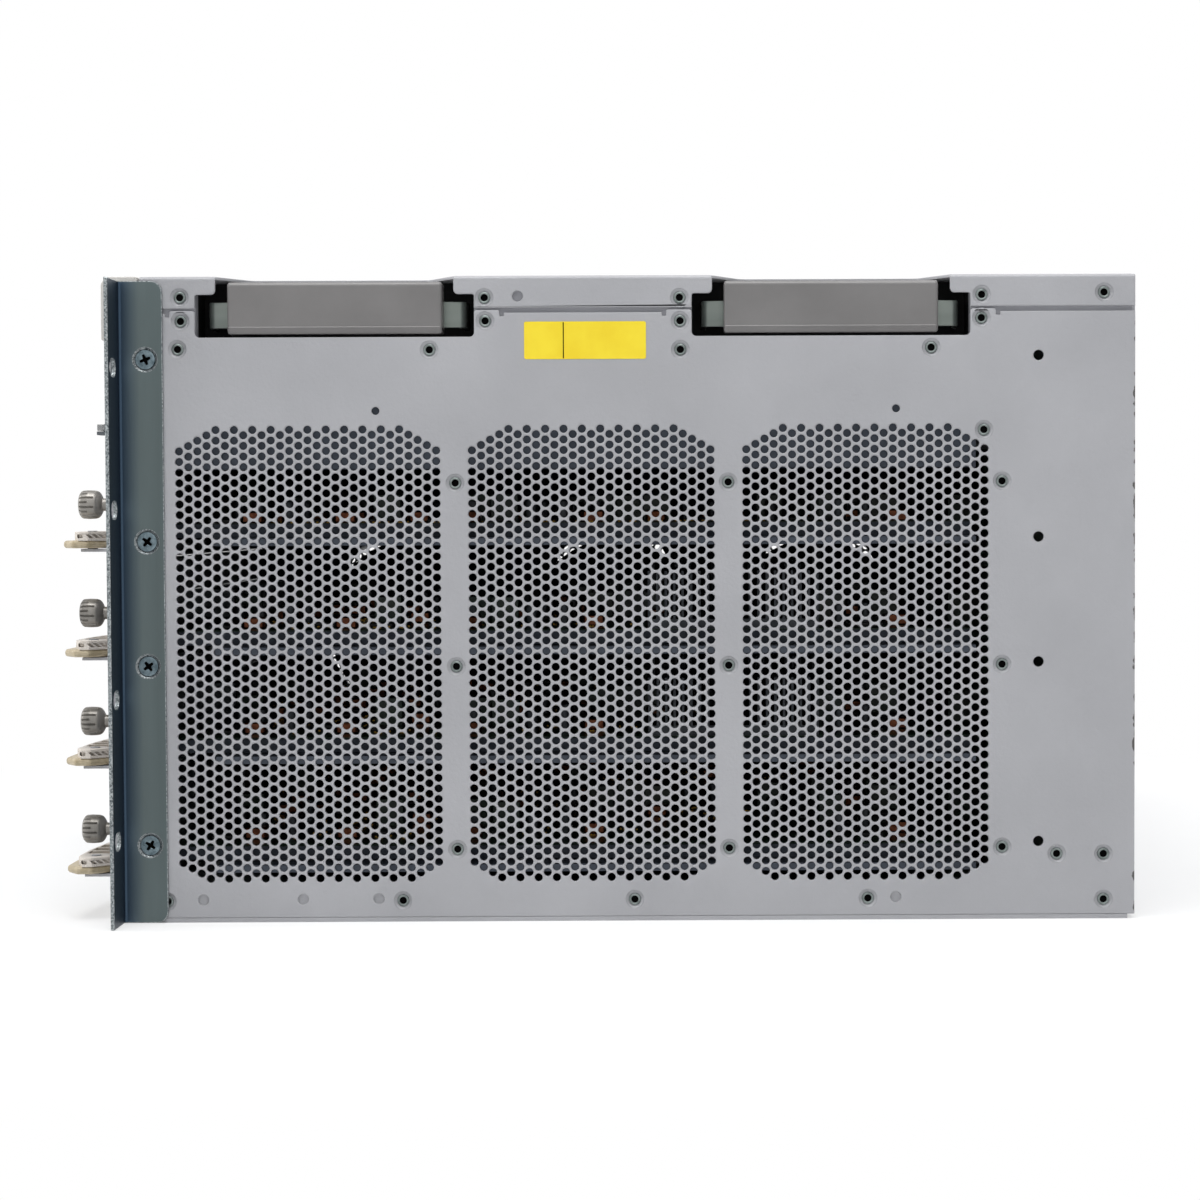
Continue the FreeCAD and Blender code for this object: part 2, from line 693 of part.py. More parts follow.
def fan_bay_wall():
    """Wall between the cards and the fan bay, with the left return for the cards' screws."""
    body = new_body("fan_wall")
    top = cage_foot - gap
    outline = [(wall_back, behind(0)), (wall_face + size("card_flange"), behind(0)),
               (wall_face + size("card_flange"), behind(gauge)), (wall_face, behind(gauge)),
               (wall_face, behind(size("tray_end"))), (wall_back, behind(size("tray_end")))]
    pad(body, "XY", size("first_slot") - gauge + gap, top, outline)
    hole = size("shaft_across") / 2 + gap
    left = wall_face + size("screw_inset")
    holes = []
    for slot in range(4):
        start = (left, behind(-1), slot_floor(slot) + size("screw_height"))
        holes.append(stud("fan_wall_hole", start, "y", hole, gauge * 3, True))
    reach = size("fan_radius") + size("fan_gap")
    tip = reach * 0.5
    openings = []
    for fan in range(3):
        y = fan_middle(fan)
        z = size("fan_height")
        openings.append([(y - reach, z), (y - tip, z - reach * 0.87), (y + tip, z - reach * 0.87),
                         (y + reach, z), (y + tip, z + reach * 0.87), (y - tip, z + reach * 0.87)])
    pocket(body, "YZ", wall_back, wall_face, outlines=openings)
    foot = block("fan_wall_foot", (wall_back, behind(gauge * 3), tray_gauge),
                 (wall_face, behind(size("tray_end")), size("first_slot") - gauge + gap))
    node(cut("fan_wall_pierced", join("fan_wall_whole", [body, foot]), holes), "fan_bay_wall")


def card_guides():
    """Eight ledges that the card carriers slide on."""
    ledges = []
    for slot in range(4):
        foot = slot_floor(slot) + size("guide_foot")
        top = foot + size("guide_height")
        for low, high in ((inside - size("card_flange"), inside),
                          (wall_face, wall_face + size("card_flange"))):
            ledges.append(block("ledge", (low, behind(size("guide_start")), foot),
                                (high, behind(size("card_depth")), top)))
    node(group("ledges", ledges), "card_guides")


def backplane():
    """Board across the back of the card cage, with a connector for each card."""
    front = behind(size("backplane_front"))
    board = block("backplane_board", (wall_face, front, size("tray_gauge") + size("tray_flange") + gap),
                  (inside - gauge - gap, front + size("backplane_gauge"), cage_foot - gap))
    parts = [board]
    for slot in range(4):
        foot = slot_floor(slot) + card_lift() + size("board_gap")
        for hand in (-1, 1):
            low = size("connector_place") * hand - size("connector_width") / 2
            parts.append(block("backplane_plug", (low, front - size("connector_depth"), foot),
                               (low + size("connector_width"), front, foot + size("connector_height"))))
    node(group("backplane_parts", parts), "backplane")


# --- rack ears ----------------------------------------------------------------------------

def rack_ears():
    """Folded zinc-plated ears with four rack slots each, and their countersunk screws."""
    body = new_body("ear")
    ear = size("ear_gauge")
    foot = size("ear_foot")
    top = foot + size("ear_height")
    outer = size("rack_width") / 2
    front = behind(size("ear_setback"))
    outline = [(side, front), (outer, front), (outer, front + ear), (side + ear, front + ear),
               (side + ear, behind(size("ear_side"))), (side, behind(size("ear_side")))]
    pad(body, "XY", foot, top, outline)
    round_edges(body, "z", [(side + ear, front + ear)], size("ear_bend"))
    round_edges(body, "z", [(side, front)], size("ear_bend"))
    ends = [(behind(size("ear_side")), foot), (behind(size("ear_side")), top)]
    round_edges(body, "x", ends, size("ear_corner"))
    middle = size("slot_middle")
    levels = [middle + size(span) * half for span in ("outer_slots", "inner_slots") for half in (0.5, -0.5)]
    slots = [((outer - size("slot_inset"), level), size("slot_length"), size("slot_width")) for level in levels]
    pocket(body, "XZ", front, front + ear, slots=slots)
    sinks = []
    screws = []
    row = behind(size("ear_screw_row"))
    head = size("ear_screw_head") / 2
    thread = size("ear_screw_thread") / 2
    sunk = ear
    for level in EAR_SCREWS:
        z = size(level)
        bore = thread + size("pin_play")
        sinks.append(flare("ear_sink", (side, row, z), "x", bore, head + size("pin_play"), sunk, True))
        tip = side + ear - size("ear_screw_length")
        shank = stud("ear_shank", (tip, row, z), "x", thread, size("ear_screw_length") - sunk)
        crown = flare("ear_crown", (side + ear - sunk, row, z), "x", thread, head, sunk)
        screws.append(join("ear_screw", [shank, crown]))
    right = node(cut("right_ear", body, sinks), "right_rack_ear")
    node(mirrored("left_ear", right), "left_rack_ear")
    right_screws = group("right_ear_screws", screws)
    left_screws = mirrored("left_ear_screws", right_screws)
    node(group("all_ear_screws", [right_screws, left_screws]), "ear_screws")


# --- handles ------------------------------------------------------------------------------

def handle_pockets():
    """Folded pockets behind the handle recesses, and the rails that back the cover's seam."""
    back = inside - size("pocket_depth")
    floor = size("recess_floor")
    lid = height - gauge
    rail_foot = lid - size("rail_drop")
    slot_half = size("strap_length") / 2 + gap
    slot_in = size("strap_length") / 2 - size("strap_gauge") - gap
    right = []
    for position in HANDLES:
        middle = handle_middle(position)
        start = middle - recess_half
        end = middle + recess_half
        right.append(block("pocket_floor", (back - gauge, start - gauge, floor - gauge),
                           (inside, end + gauge, floor)))
        for low in (start - gauge, end):
            right.append(block("pocket_end", (back - gauge, low, floor), (inside, low + gauge, lid)))
        wall = block("pocket_back", (back - gauge, start, floor), (back, end, lid))
        slots = []
        for low, high in ((slot_in, slot_half), (-slot_half, -slot_in)):
            slots.append(block("pocket_slot", (back - gauge * 2, middle + low, size("strap_foot") - gap),
                               (back + 1, middle + high, size("strap_foot") + size("strap_height") + gap)))
        right.append(cut("pocket_wall", wall, slots))
    front_middle = handle_middle("front")
    rear_middle = handle_middle("rear")
    room = recess_half + gauge
    spans = [(behind(size("cover_front")), front_middle - room),
             (front_middle + room, rear_middle - room), (rear_middle + room, rear - gauge)]
    for start, end in spans:
        right.append(block("rail", (inside - gauge, start, rail_foot), (inside, end, lid)))
    twins = [mirrored("left_" + part.Name, part) for part in right]
    node(group("all_pockets", right + twins), "handle_pockets")


def handles():
    """Four pull-out handles: a bent steel strap that slides through its pocket, and a grip."""
    face = side - size("strap_recess")
    steel = size("strap_gauge")
    half = size("strap_length") / 2
    foot = size("strap_foot")
    top = foot + size("strap_height")
    stop = inside - size("pocket_depth") - gauge - size("handle_travel") - gap - steel
    for position in HANDLES:
        middle = handle_middle(position)
        body = new_body("strap_" + position)
        outline = [(stop, middle - half), (face, middle - half), (face, middle + half),
                   (stop, middle + half), (stop, middle + half - steel),
                   (face - steel, middle + half - steel), (face - steel, middle - half + steel),
                   (stop, middle - half + steel)]
        pad(body, "XY", foot, top, outline)
        round_edges(body, "z", [(face, middle - half), (face, middle + half)], size("strap_bend"))
        inner = [(face - steel, middle - half + steel), (face - steel, middle + half - steel)]
        round_edges(body, "z", inner, size("strap_bend") - steel)
        tab = (size("stop_height") - size("strap_height")) / 2
        for low, high in ((half - steel, half), (-half, steel - half)):
            pad(body, "XY", foot - tab, top + tab,
                rectangle(stop - steel, stop + steel, middle + low, middle + high))
        strap = node(body, "handle_right_%s_strap" % position)
        node(mirrored("left_strap_" + position, strap), "handle_left_%s_strap" % position)

        grip = new_body("grip_" + position)
        reach = size("grip_length") / 2
        low = size("grip_foot")
        high = low + size("grip_height")
        chamfer = foot - low
        outline = [(side - size("grip_depth"), low + chamfer / 2), (side - chamfer, low), (side, foot),
                   (side, high), (side - size("grip_depth"), high)]
        pad(grip, "XZ", middle - reach, middle + reach, outline)
        groove = rectangle(side - size("grip_depth"), face, foot, top)
        pocket(grip, "XZ", middle - reach, middle + reach, outlines=[groove])
        ends = [(middle - reach, high), (middle + reach, high)]
        round_edges(grip, "x", ends, gauge)
        grip_node = node(grip, "handle_right_%s_grip" % position)
        node(mirrored("left_grip_" + position, grip_node), "handle_left_%s_grip" % position)


# --- cards --------------------------------------------------------------------------------

def card_left():
    """Left side of a card carrier."""
    return wall_face + size("card_flange") + size("pin_play") * 5


def card_right():
    """Right side of a card carrier."""
    return inside - size("card_flange") - size("pin_play") * 5


def card_lift():
    """Carrier's underside above the slot's floor."""
    return size("guide_foot") + size("guide_height") + gap


def plate_back():
    """Back face of a card's faceplate."""
    return behind(-gap)


def plate_front():
    """Front face of a card's faceplate."""
    return plate_back() - size("plate_gauge")


def lever_pins():
    """The two lever pins of a card, right and left, along x."""
    inset = size("lever_hub") + gauge
    return (inside - inset, wall_face + inset)


def lever_pin_y():
    """The lever pins, along y."""
    return plate_front() - size("lever_hub") - gauge * 0.5


def port_pitch():
    """Sockets, side to side: four blocks of six fill the card's width."""
    clear = card_right() - card_left() - size("port_margin") * 2 - size("block_gap") * 3
    return clear / 24


def socket_block(name, left, columns, rows, foot, rise):
    """A moulded block of sockets, open at the front."""
    pitch = port_pitch()
    front = plate_front() - size("port_proud")
    high = foot + rise
    body = new_body(name)
    pad(body, "XZ", front, front + size("block_depth"), rectangle(left, left + pitch * columns, foot, high))
    mouths = []
    for column in range(columns):
        x = left + pitch * (column + 0.5)
        for row in range(rows):
            z = foot + length(rise) * ((row + 0.5) / rows)
            half = (pitch - size("port_wall")) / 2
            tall = size("port_mouth_height") / 2
            mouths.append(rectangle(x - half, x + half, z - tall, z + tall))
    pocket(body, "XZ", front, front + size("port_depth"), outlines=mouths)
    return body


def heat_sink(name, left, front, foot):
    """Finned heat sink; the fins stand across the air's way along the card."""
    fins = 21
    pitch = size("fin_pitch")
    thin = size("sink_fin")
    base = foot + size("sink_base")
    top = foot + size("sink_height")
    outline = [(front, foot), (front + pitch * (fins - 1) + thin, foot)]
    for fin in reversed(range(fins)):
        y = front + pitch * fin
        outline += [(y + thin, top), (y, top)]
        if fin:
            outline += [(y, base), (y - pitch + thin, base)]
    body = new_body(name)
    pad(body, "YZ", left, left + size("sink_width"), outline)
    return body


def card_blocks(kind):
    """Left end, columns, rows and height of each socket block on a card."""
    tall = size("block_height")
    start = card_left() + size("port_margin")
    if kind == "port":
        return [(start + (port_pitch() * 6 + size("block_gap")) * n, 6, 2, tall) for n in range(4)]
    low = tall / 2
    return [(start, 8, 1, low), (start + port_pitch() * 12, 2, 1, low)]


def board_foot():
    """Underside of the lowest card's board."""
    return slot_floor(0) + card_lift() + gauge + size("board_gap")


def lever_low():
    """Underside of the lowest card's levers."""
    return slot_floor(0) + size("lever_foot")


def captive_screw_xs():
    """The two captive screws of a card, right and left, along x."""
    return (inside - size("screw_inset"), wall_face + size("screw_inset"))


def card_plate(kind):
    """Folded faceplate with windows for the sockets and the lugs that carry the lever pins."""
    foot = slot_floor(0) + (size("card_pitch") - size("plate_height")) / 2
    top = foot + size("plate_height")
    back = plate_back()
    front = plate_front()
    plate = new_body(kind + "_plate")
    pad(plate, "XZ", front, back, rectangle(wall_face + gap, inside - gap, foot, top))
    for low, high in ((foot, foot + gauge), (top - gauge, top)):
        lip = rectangle(card_left(), card_right(), low, high)
        pad(plate, "XZ", back, back + size("plate_return"), lip)
    board_top = board_foot() + size("board_gauge")
    windows = []
    for start, columns, _, rise in card_blocks(kind):
        end = start + port_pitch() * columns
        windows.append(rectangle(start - gap, end + gap, board_top - gap, board_top + rise + gap))
    screw_z = slot_floor(0) + size("screw_height")
    shaft = size("shaft_across") / 2 + size("pin_play")
    pocket(plate, "XZ", front, back, outlines=windows)
    pocket(plate, "XZ", front, back, outlines=[ring((x, screw_z), shaft, True) for x in captive_screw_xs()])
    pin = size("pin_across") / 2
    lug_top = lever_low() - gap
    pin_top = lever_low() + size("lever_base") + size("lever_body") + gap
    for x in lever_pins():
        y = lever_pin_y()
        lug = rectangle(x - pin * 2, x + pin * 2, y - pin * 2, front)
        pad(plate, "XY", lug_top - size("lug_gauge"), lug_top, lug)
        pad(plate, "XY", lug_top, pin_top, ring((x, y), pin))
    return plate


def card_carrier():
    """Folded tray under the board, which slides on the guides."""
    body = new_body("card_tray")
    low = slot_floor(0) + card_lift()
    rim = low + size("carrier_flange")
    left = card_left()
    right = card_right()
    outline = [(left, low), (right, low), (right, rim), (right - gauge, rim),
               (right - gauge, low + gauge), (left + gauge, low + gauge), (left + gauge, rim),
               (left, rim)]
    pad(body, "XZ", plate_back(), behind(size("card_depth")), outline)
    return body


def card_board(kind):
    """Circuit board on its standoffs, with the socket blocks and any heat sinks."""
    inset = gauge * 3
    left = card_left() + inset
    right = card_right() - inset
    front = plate_back() + size("plate_return") + gap
    back = behind(size("card_depth")) - gap
    foot = board_foot()
    top = foot + size("board_gauge")
    pieces = [block(kind + "_pcb", (left, front, foot), (right, back, top))]
    for x in (left + inset, right - inset):
        for y in (front + inset, back - inset):
            half = size("pin_across") / 2
            pieces.append(block(kind + "_post", (x - half, y - half, foot - size("board_gap")),
                                (x + half, y + half, foot)))
    pieces = [join(kind + "_board_whole", pieces)]
    for index, (start, columns, rows, rise) in enumerate(card_blocks(kind)):
        pieces.append(socket_block("%s_sockets_%d" % (kind, index + 1), start, columns, rows, top, rise))
    if kind == "control":
        for index, x in enumerate((right - size("sink_width") - inset, -size("sink_place"))):
            pieces.append(heat_sink("sink_%d" % (index + 1), x, behind(size("sink_front")), top))
    return group(kind + "_board_parts", pieces)


def cards():
    """Four cards: two with rows of ports and, between them, two that control the switch."""
    masters = {}
    for kind in ("port", "control"):
        masters[kind] = {"faceplate": card_plate(kind), "board": card_board(kind)}
    shared = {"carrier": card_carrier()}
    screw_z = slot_floor(0) + size("screw_height")
    for hand, pin_x, screw_x in zip(SIDES, lever_pins(), captive_screw_xs()):
        shared["lever_" + hand] = lever("lever_" + hand, pin_x, lever_low(), hand)
        shared["screw_" + hand] = captive_screw("card_screw_" + hand, screw_x, screw_z)
    for slot in range(4):
        kind = "port" if slot in (0, 3) else "control"
        for piece, master in (masters[kind] | shared).items():
            label = "card_%d_%s" % (slot + 1, piece)
            node(shifted(label, master, along_z=size("card_pitch") * slot), label)


def lever(name, x, foot, hand):
    """Ejector lever of two leaves round a bored hub; its finger end points inwards."""
    inward = -1 if hand == "right" else 1
    y = lever_pin_y()
    hub = size("lever_hub")
    nose = behind(-size("lever_reach"))
    near = y + hub
    end = x - hub * inward
    brow = x - hub * (0.2 * inward)
    waist = x + hub * (2 * inward)
    tip = end + size("lever_length") * inward
    soft = size("lever_round")
    body = new_body(name)
    full = [(end, nose + hub * 0.6), (brow, nose), (waist, nose), (tip, nose + hub * 0.5),
            (tip, nose + hub * 1.1), (waist, near), (x, near), (end, y)]
    pad(body, "XY", foot, foot + size("lever_base"), full)
    round_edges(body, "z", [full[0], full[1], full[3], full[4]], soft)
    step = size("lever_step")
    slim = [(end, nose + hub * 0.6 + step * 0.5), (brow, nose + step), (waist, nose + step),
            (tip - soft * inward, nose + hub * 0.85), (tip - soft * inward, nose + hub * 1.1),
            (waist, near), (x, near), (end, y)]
    middle = foot + size("lever_base")
    body_top = middle + size("lever_body")
    pad(body, "XY", middle, body_top, slim)
    cells = []
    rib = size("lever_rib")
    cell = size("lever_cell")
    low = nose + step + rib
    for index in range(2):
        near_x = x + (hub * 0.75 + (cell + rib) * index) * inward
        far_x = near_x + cell * inward
        cells.append([(near_x, low), (far_x, low), (far_x, near - hub * 0.3 - rib),
                      (near_x, near - hub * 0.3 - rib)])
    pocket(body, "XY", middle, body_top, outlines=cells)
    bore = size("pin_across") / 2 + size("pin_play")
    pocket(body, "XY", foot, body_top, outlines=[ring((x, y), bore, True)])
    return body


def captive_screw(name, x, z):
    """Fluted knob on a plain shaft that reaches through the faceplate."""
    flutes = 12
    radius = size("knob_across") / 2
    body = new_body(name)
    outline = []
    for index in range(flutes * 2):
        reach = radius * (1 if index % 2 else 0.86)
        turn = math.pi * index / flutes
        outline.append((x + reach * math.cos(turn), z + reach * math.sin(turn)))
    start = behind(-size("knob_front"))
    pad(body, "XZ", start, start + size("knob_length"), outline)
    pad(body, "XZ", start + size("knob_length"), behind(size("shaft_tip")),
        ring((x, z), size("shaft_across") / 2))
    return body


# --- power supplies -----------------------------------------------------------------------

def pull_loop(name, x, foot, front):
    """Bent strap to pull a unit out by; the fingers go through it along x."""
    reach = behind(-size("loop_reach"))
    thick = size("loop_gauge")
    top = foot + size("loop_height")
    body = new_body(name)
    outline = [(front, foot), (reach, foot), (reach, top), (front, top), (front, top - thick),
               (reach + thick, top - thick), (reach + thick, foot + thick), (front, foot + thick)]
    pad(body, "YZ", x, x + size("loop_width"), outline)
    round_edges(body, "x", [(reach, foot), (reach, top)], thick * 1.5)
    return body


def supply(index, bay):
    """A power supply with its mains inlet, pull loop and latch."""
    name = "power_supply_%d" % index
    play = size("supply_play")
    left = bay_left(bay) + play
    right = left + bay_width() - play * 2
    foot = cage_foot + gauge + gap
    top = cage_top - gauge - play
    front = plate_front()
    case = block(name + "_shell", (left, front, foot), (right, behind(size("supply_depth")), top))
    inlet_left = left + size("inlet_place")
    inlet_foot = foot + size("inlet_foot")
    inlet = block(name + "_inlet", (inlet_left, front - 1, inlet_foot),
                  (inlet_left + size("inlet_width"), front + size("inlet_depth"),
                   inlet_foot + size("inlet_height")))
    hollowed = cut(name + "_hollowed", case, [inlet])
    pieces = [hollowed]
    for step_x, step_z in ((0.25, 0.38), (0.5, 0.62), (0.75, 0.38)):
        x = inlet_left + size("inlet_width") * step_x
        z = inlet_foot + size("inlet_height") * step_z
        back = front + size("inlet_depth")
        wide = size("inlet_pin_gauge") / 2
        tall = size("inlet_pin_height") / 2
        pieces.append(block(name + "_pin", (x - wide, back - size("inlet_pin"), z - tall),
                            (x + wide, back, z + tall)))
    pieces.append(pull_loop(name + "_loop", left + size("loop_place"), foot + size("loop_gauge"), front))
    pivot_x = right - size("latch_place")
    lug = size("latch_lug") / 2
    pin = size("latch_pin") / 2
    latch_y = front - size("lever_base") - 0.5
    latch_low = foot + size("latch_height")
    pieces.append(block(name + "_ear", (pivot_x - lug, latch_y - lug * 0.75, latch_low - gap - size("strap_gauge")),
                        (pivot_x + lug, front, latch_low - gap)))
    pieces.append(stud(name + "_pivot", (pivot_x, latch_y, latch_low - gap), "z", pin,
                       size("latch_thickness") + gap * 2))
    node(join(name + "_whole", pieces), name + "_case")

    latch = new_body(name + "_tab")
    reach = behind(-size("latch_reach"))
    outline = [(pivot_x - pin * 2.5, latch_y + pin * 2), (pivot_x - pin * 2.5, latch_y - pin * 2),
               (pivot_x + pin, reach), (pivot_x + pin * 5, reach), (pivot_x + pin * 4, latch_y),
               (pivot_x + pin * 2.5, latch_y + pin * 2)]
    latch_top = latch_low + size("latch_thickness")
    pad(latch, "XY", latch_low, latch_top, outline)
    bore = ring((pivot_x, latch_y), pin + size("pin_play"), True)
    pocket(latch, "XY", latch_low, latch_top, outlines=[bore])
    node(latch, name + "_latch")


def blank_covers():
    """Plates over the two empty power bays, each with a tongue that grips the cage."""
    plates = []
    foot = cage_foot + gauge + gap
    top = cage_top - gauge - size("supply_play")
    back = behind(gauge + gap)
    for bay in range(2):
        left = bay_left(bay) + size("supply_play")
        right = left + bay_width() - size("supply_play") * 2
        body = new_body("blank_%d" % (bay + 1))
        pad(body, "XZ", plate_front(), plate_back(), rectangle(left, right, foot, top))
        for low, high in ((foot, foot + gauge), (top - gauge, top)):
            tongue = rectangle(left + size("tongue_inset"), right - size("tongue_inset"), low, high)
            pad(body, "XZ", plate_back(), back + size("tongue_reach"), tongue)
        plates.append(body)
    node(group("blanks", plates), "power_bay_blanks")


# --- fan tray -----------------------------------------------------------------------------

def fan_middle(fan):
    """A rotor's axis along y."""
    return behind(size("fan_first") + size("fan_pitch") * fan)


def fan_outer():
    """The housing's outer face, beside the left panel."""
    return gap * 2 - inside


def fan_tray():
    """Housing of three fans in a row, with its front plate, pull loop and captive screw."""
    outer = fan_outer()
    inner = outer + size("fan_depth")
    foot = tray_gauge + size("tray_flange") + gap
    top = cage_foot - size("cage_drop") - gap
    bore = size("fan_radius") + size("fan_gap")
    z = size("fan_height")
    body = new_body("fan_housing")
    pad(body, "YZ", outer, inner, rectangle(plate_back(), behind(size("tray_end")), foot, top))
    pocket(body, "YZ", outer, inner, circles=[((fan_middle(fan), z), bore) for fan in range(3)])
    parts = [body]
    for fan in range(3):
        y = fan_middle(fan)
        rib = gauge * 2
        parts.append(block("fan_strut", (inner - rib, y - bore - 1, z - rib),
                           (inner, y + bore + 1, z + rib)))
        parts.append(block("fan_strut", (inner - rib, y - rib, z - bore - 1),
                           (inner, y + rib, z + bore + 1)))
        parts.append(rod("fan_seat", (inner - rib, y, z), "x", size("fan_hub"), rib))
        pin = size("rotor_pin")
        parts.append(stud("fan_pin", (inner - rib - pin, y, z), "x", size("pin_across") / 2, pin))
    plate = block("fan_plate", (gap - inside, plate_front(), size("first_slot")),
                  (wall_back - gap, plate_back(), cage_foot - gap))
    screw_x = (wall_back - inside) / 2
    screw_z = size("first_slot") + size("screw_inset")
    shaft = size("shaft_across") / 2
    room = stud("fan_screw_room", (screw_x, plate_front() - 1, screw_z), "y",
                shaft + size("pin_play"), size("plate_gauge") + 2, True)
    pieces = [cut("fan_plate_cut", plate, [room])]
    well = stud("fan_screw_well", (screw_x, plate_back() - 1, screw_z), "y",
                shaft + gap, size("shaft_tip") + gauge * 2, True)
    housing = cut("fan_housing_cut", join("fan_housing_whole", parts), [well])
    loop_x = screw_x - size("loop_width") / 2
    loop = pull_loop("fan_loop", loop_x, z - size("loop_height") / 2, plate_front())
    node(join("fan_tray_whole", [housing, loop] + pieces), "fan_tray_frame")
    node(captive_screw("fan_captive", screw_x, screw_z), "fan_tray_screw")
    master = rotor(inner - gauge * 2)
    for fan in range(3):
        label = "fan_rotor_%d" % (fan + 1)
        node(shifted(label, master, along_y=size("fan_pitch") * fan), label)


def rotor(seat):
    """Seven-bladed rotor on a bored hub that turns on the housing's pin."""
    y = float(fan_middle(0))
    z = float(size("fan_height"))
    hub = float(size("fan_hub"))
    tip = float(size("fan_radius"))
    deep = float(size("rotor_depth"))
    right = float(seat - gap)
    left = right - deep
    middle = right - deep / 2
    thick = float(size("blade_thickness"))
    axis = FreeCAD.Vector(1, 0, 0)
    sides = 28
    rim = []
    for index in range(sides + 1):
        turn = 2 * math.pi * (index % sides + 0.5) / sides
        rim.append(FreeCAD.Vector(left, y + hub * math.cos(turn), z + hub * math.sin(turn)))
    shape = Part.Face(Part.makePolygon(rim)).extrude(FreeCAD.Vector(deep, 0, 0))
    half = deep * 0.46
    lean = half * 0.85
    camber = [(-half, -lean), (0.0, lean * 0.25), (half, lean), (half, lean - thick), (0.0, lean * 0.25 - thick),
              (-half, -lean - thick)]
    reach = math.sqrt(tip ** 2 - (lean + thick) ** 2)
    root = hub * 0.76
    spots = [FreeCAD.Vector(middle + a, y + b, z + root) for a, b in camber]
    section = Part.Face(Part.makePolygon(spots + spots[:1]))
    blades = []
    for index in range(7):
        blade = section.extrude(FreeCAD.Vector(0, 0, reach - root))
        blade.rotate(FreeCAD.Vector(left, y, z), axis, 360.0 * index / 7)
        blades.append(blade)
    shape = shape.fuse(blades)
    bore = float(size("pin_across") / 2 + size("pin_play")) / math.cos(math.pi / FLATS)
    well = float(size("rotor_pin") + gap)
    walls = []
    for index in range(FLATS + 1):
        turn = 2 * math.pi * (index % FLATS) / FLATS
        walls.append(FreeCAD.Vector(right, y + bore * math.cos(turn), z + bore * math.sin(turn)))
    shape = shape.cut(Part.Face(Part.makePolygon(walls)).extrude(FreeCAD.Vector(-well, 0, 0)))
    item = doc.addObject("Part::Feature", "rotor")
    item.Shape = shape.removeSplitter()
    return item


# --- build and write ----------------------------------------------------------------------

base_tray()
side_panels()
top_cover()
rear_panel()
front_bezel()
power_cage()
fan_bay_wall()
card_guides()
backplane()
rack_ears()
handle_pockets()
handles()
cards()
supply(1, 2)
supply(2, 3)
blank_covers()
fan_tray()
doc.recompute()

for item in doc.Objects:
    if "Invalid" in item.State or "Error" in item.State:
        raise RuntimeError("%s failed: %s" % (item.Label, item.State))
os.makedirs("parts", exist_ok=True)
for item in nodes:
    if item.Shape.isNull() or not item.Shape.isValid():
        raise RuntimeError("%s has no valid shape" % item.Label)
for item in nodes:
    item.Shape.exportStep("parts/%s.step" % item.Label)
print("%d sub-parts written" % len(nodes))
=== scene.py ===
import json
import math
import random

import bmesh
import bpy
from mathutils import Euler, Matrix, Quaternion, Vector


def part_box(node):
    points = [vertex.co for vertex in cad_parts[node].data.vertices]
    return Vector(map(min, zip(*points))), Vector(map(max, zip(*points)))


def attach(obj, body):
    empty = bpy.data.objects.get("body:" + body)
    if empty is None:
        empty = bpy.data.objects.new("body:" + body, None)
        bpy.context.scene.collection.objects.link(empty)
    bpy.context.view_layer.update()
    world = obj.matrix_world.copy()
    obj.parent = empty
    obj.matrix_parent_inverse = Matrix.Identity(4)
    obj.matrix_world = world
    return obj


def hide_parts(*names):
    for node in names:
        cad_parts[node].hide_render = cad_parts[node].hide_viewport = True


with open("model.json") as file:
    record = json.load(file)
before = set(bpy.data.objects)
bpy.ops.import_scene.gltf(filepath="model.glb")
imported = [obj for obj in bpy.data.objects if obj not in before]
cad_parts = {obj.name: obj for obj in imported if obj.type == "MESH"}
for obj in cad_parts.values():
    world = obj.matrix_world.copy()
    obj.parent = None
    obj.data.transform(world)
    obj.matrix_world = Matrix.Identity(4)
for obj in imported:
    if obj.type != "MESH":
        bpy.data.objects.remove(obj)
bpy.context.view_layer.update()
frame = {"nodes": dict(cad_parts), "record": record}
mm = 0.001
print("frame loaded,", len(frame["nodes"]), "nodes")

# the chassis' own places, all from the frame
panelLow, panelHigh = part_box("right_side_panel")
coverLow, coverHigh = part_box("top_cover")
earLow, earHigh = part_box("right_rack_ear")
sideX = panelHigh.x                     # outer face of the right panel
frontY = panelLow.y                     # front plane
rearY = panelHigh.y
topZ = coverHigh.z
gauge = 1.2 * mm
sides = (("right", 1), ("left", -1))
handleMiddles = [sum(c.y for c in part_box("handle_right_%s_grip" % p)) / 2 for p in ("front", "rear")]
bodyOf = {node: name for name, nodes in frame["record"]["behaviour"]["bodies"].items() for node in nodes}


def hexColour(code):                    # sRGB hex to the linear value that shaders use
    parts = [int(code[i:i + 2], 16) / 255 for i in (0, 2, 4)]
    return tuple(c / 12.92 if c <= 0.04045 else ((c + 0.055) / 1.055) ** 2.4 for c in parts) + (1.0,)


def addNode(tree, kind, settings=None, values=None, links=None):
    node = tree.nodes.new(kind)
    for name, value in (settings or {}).items():
        setattr(node, name, value)
    for key, value in (values or {}).items():
        node.inputs[key].default_value = value
    for key, socket in (links or {}).items():
        tree.links.new(socket, node.inputs[key])
    return node


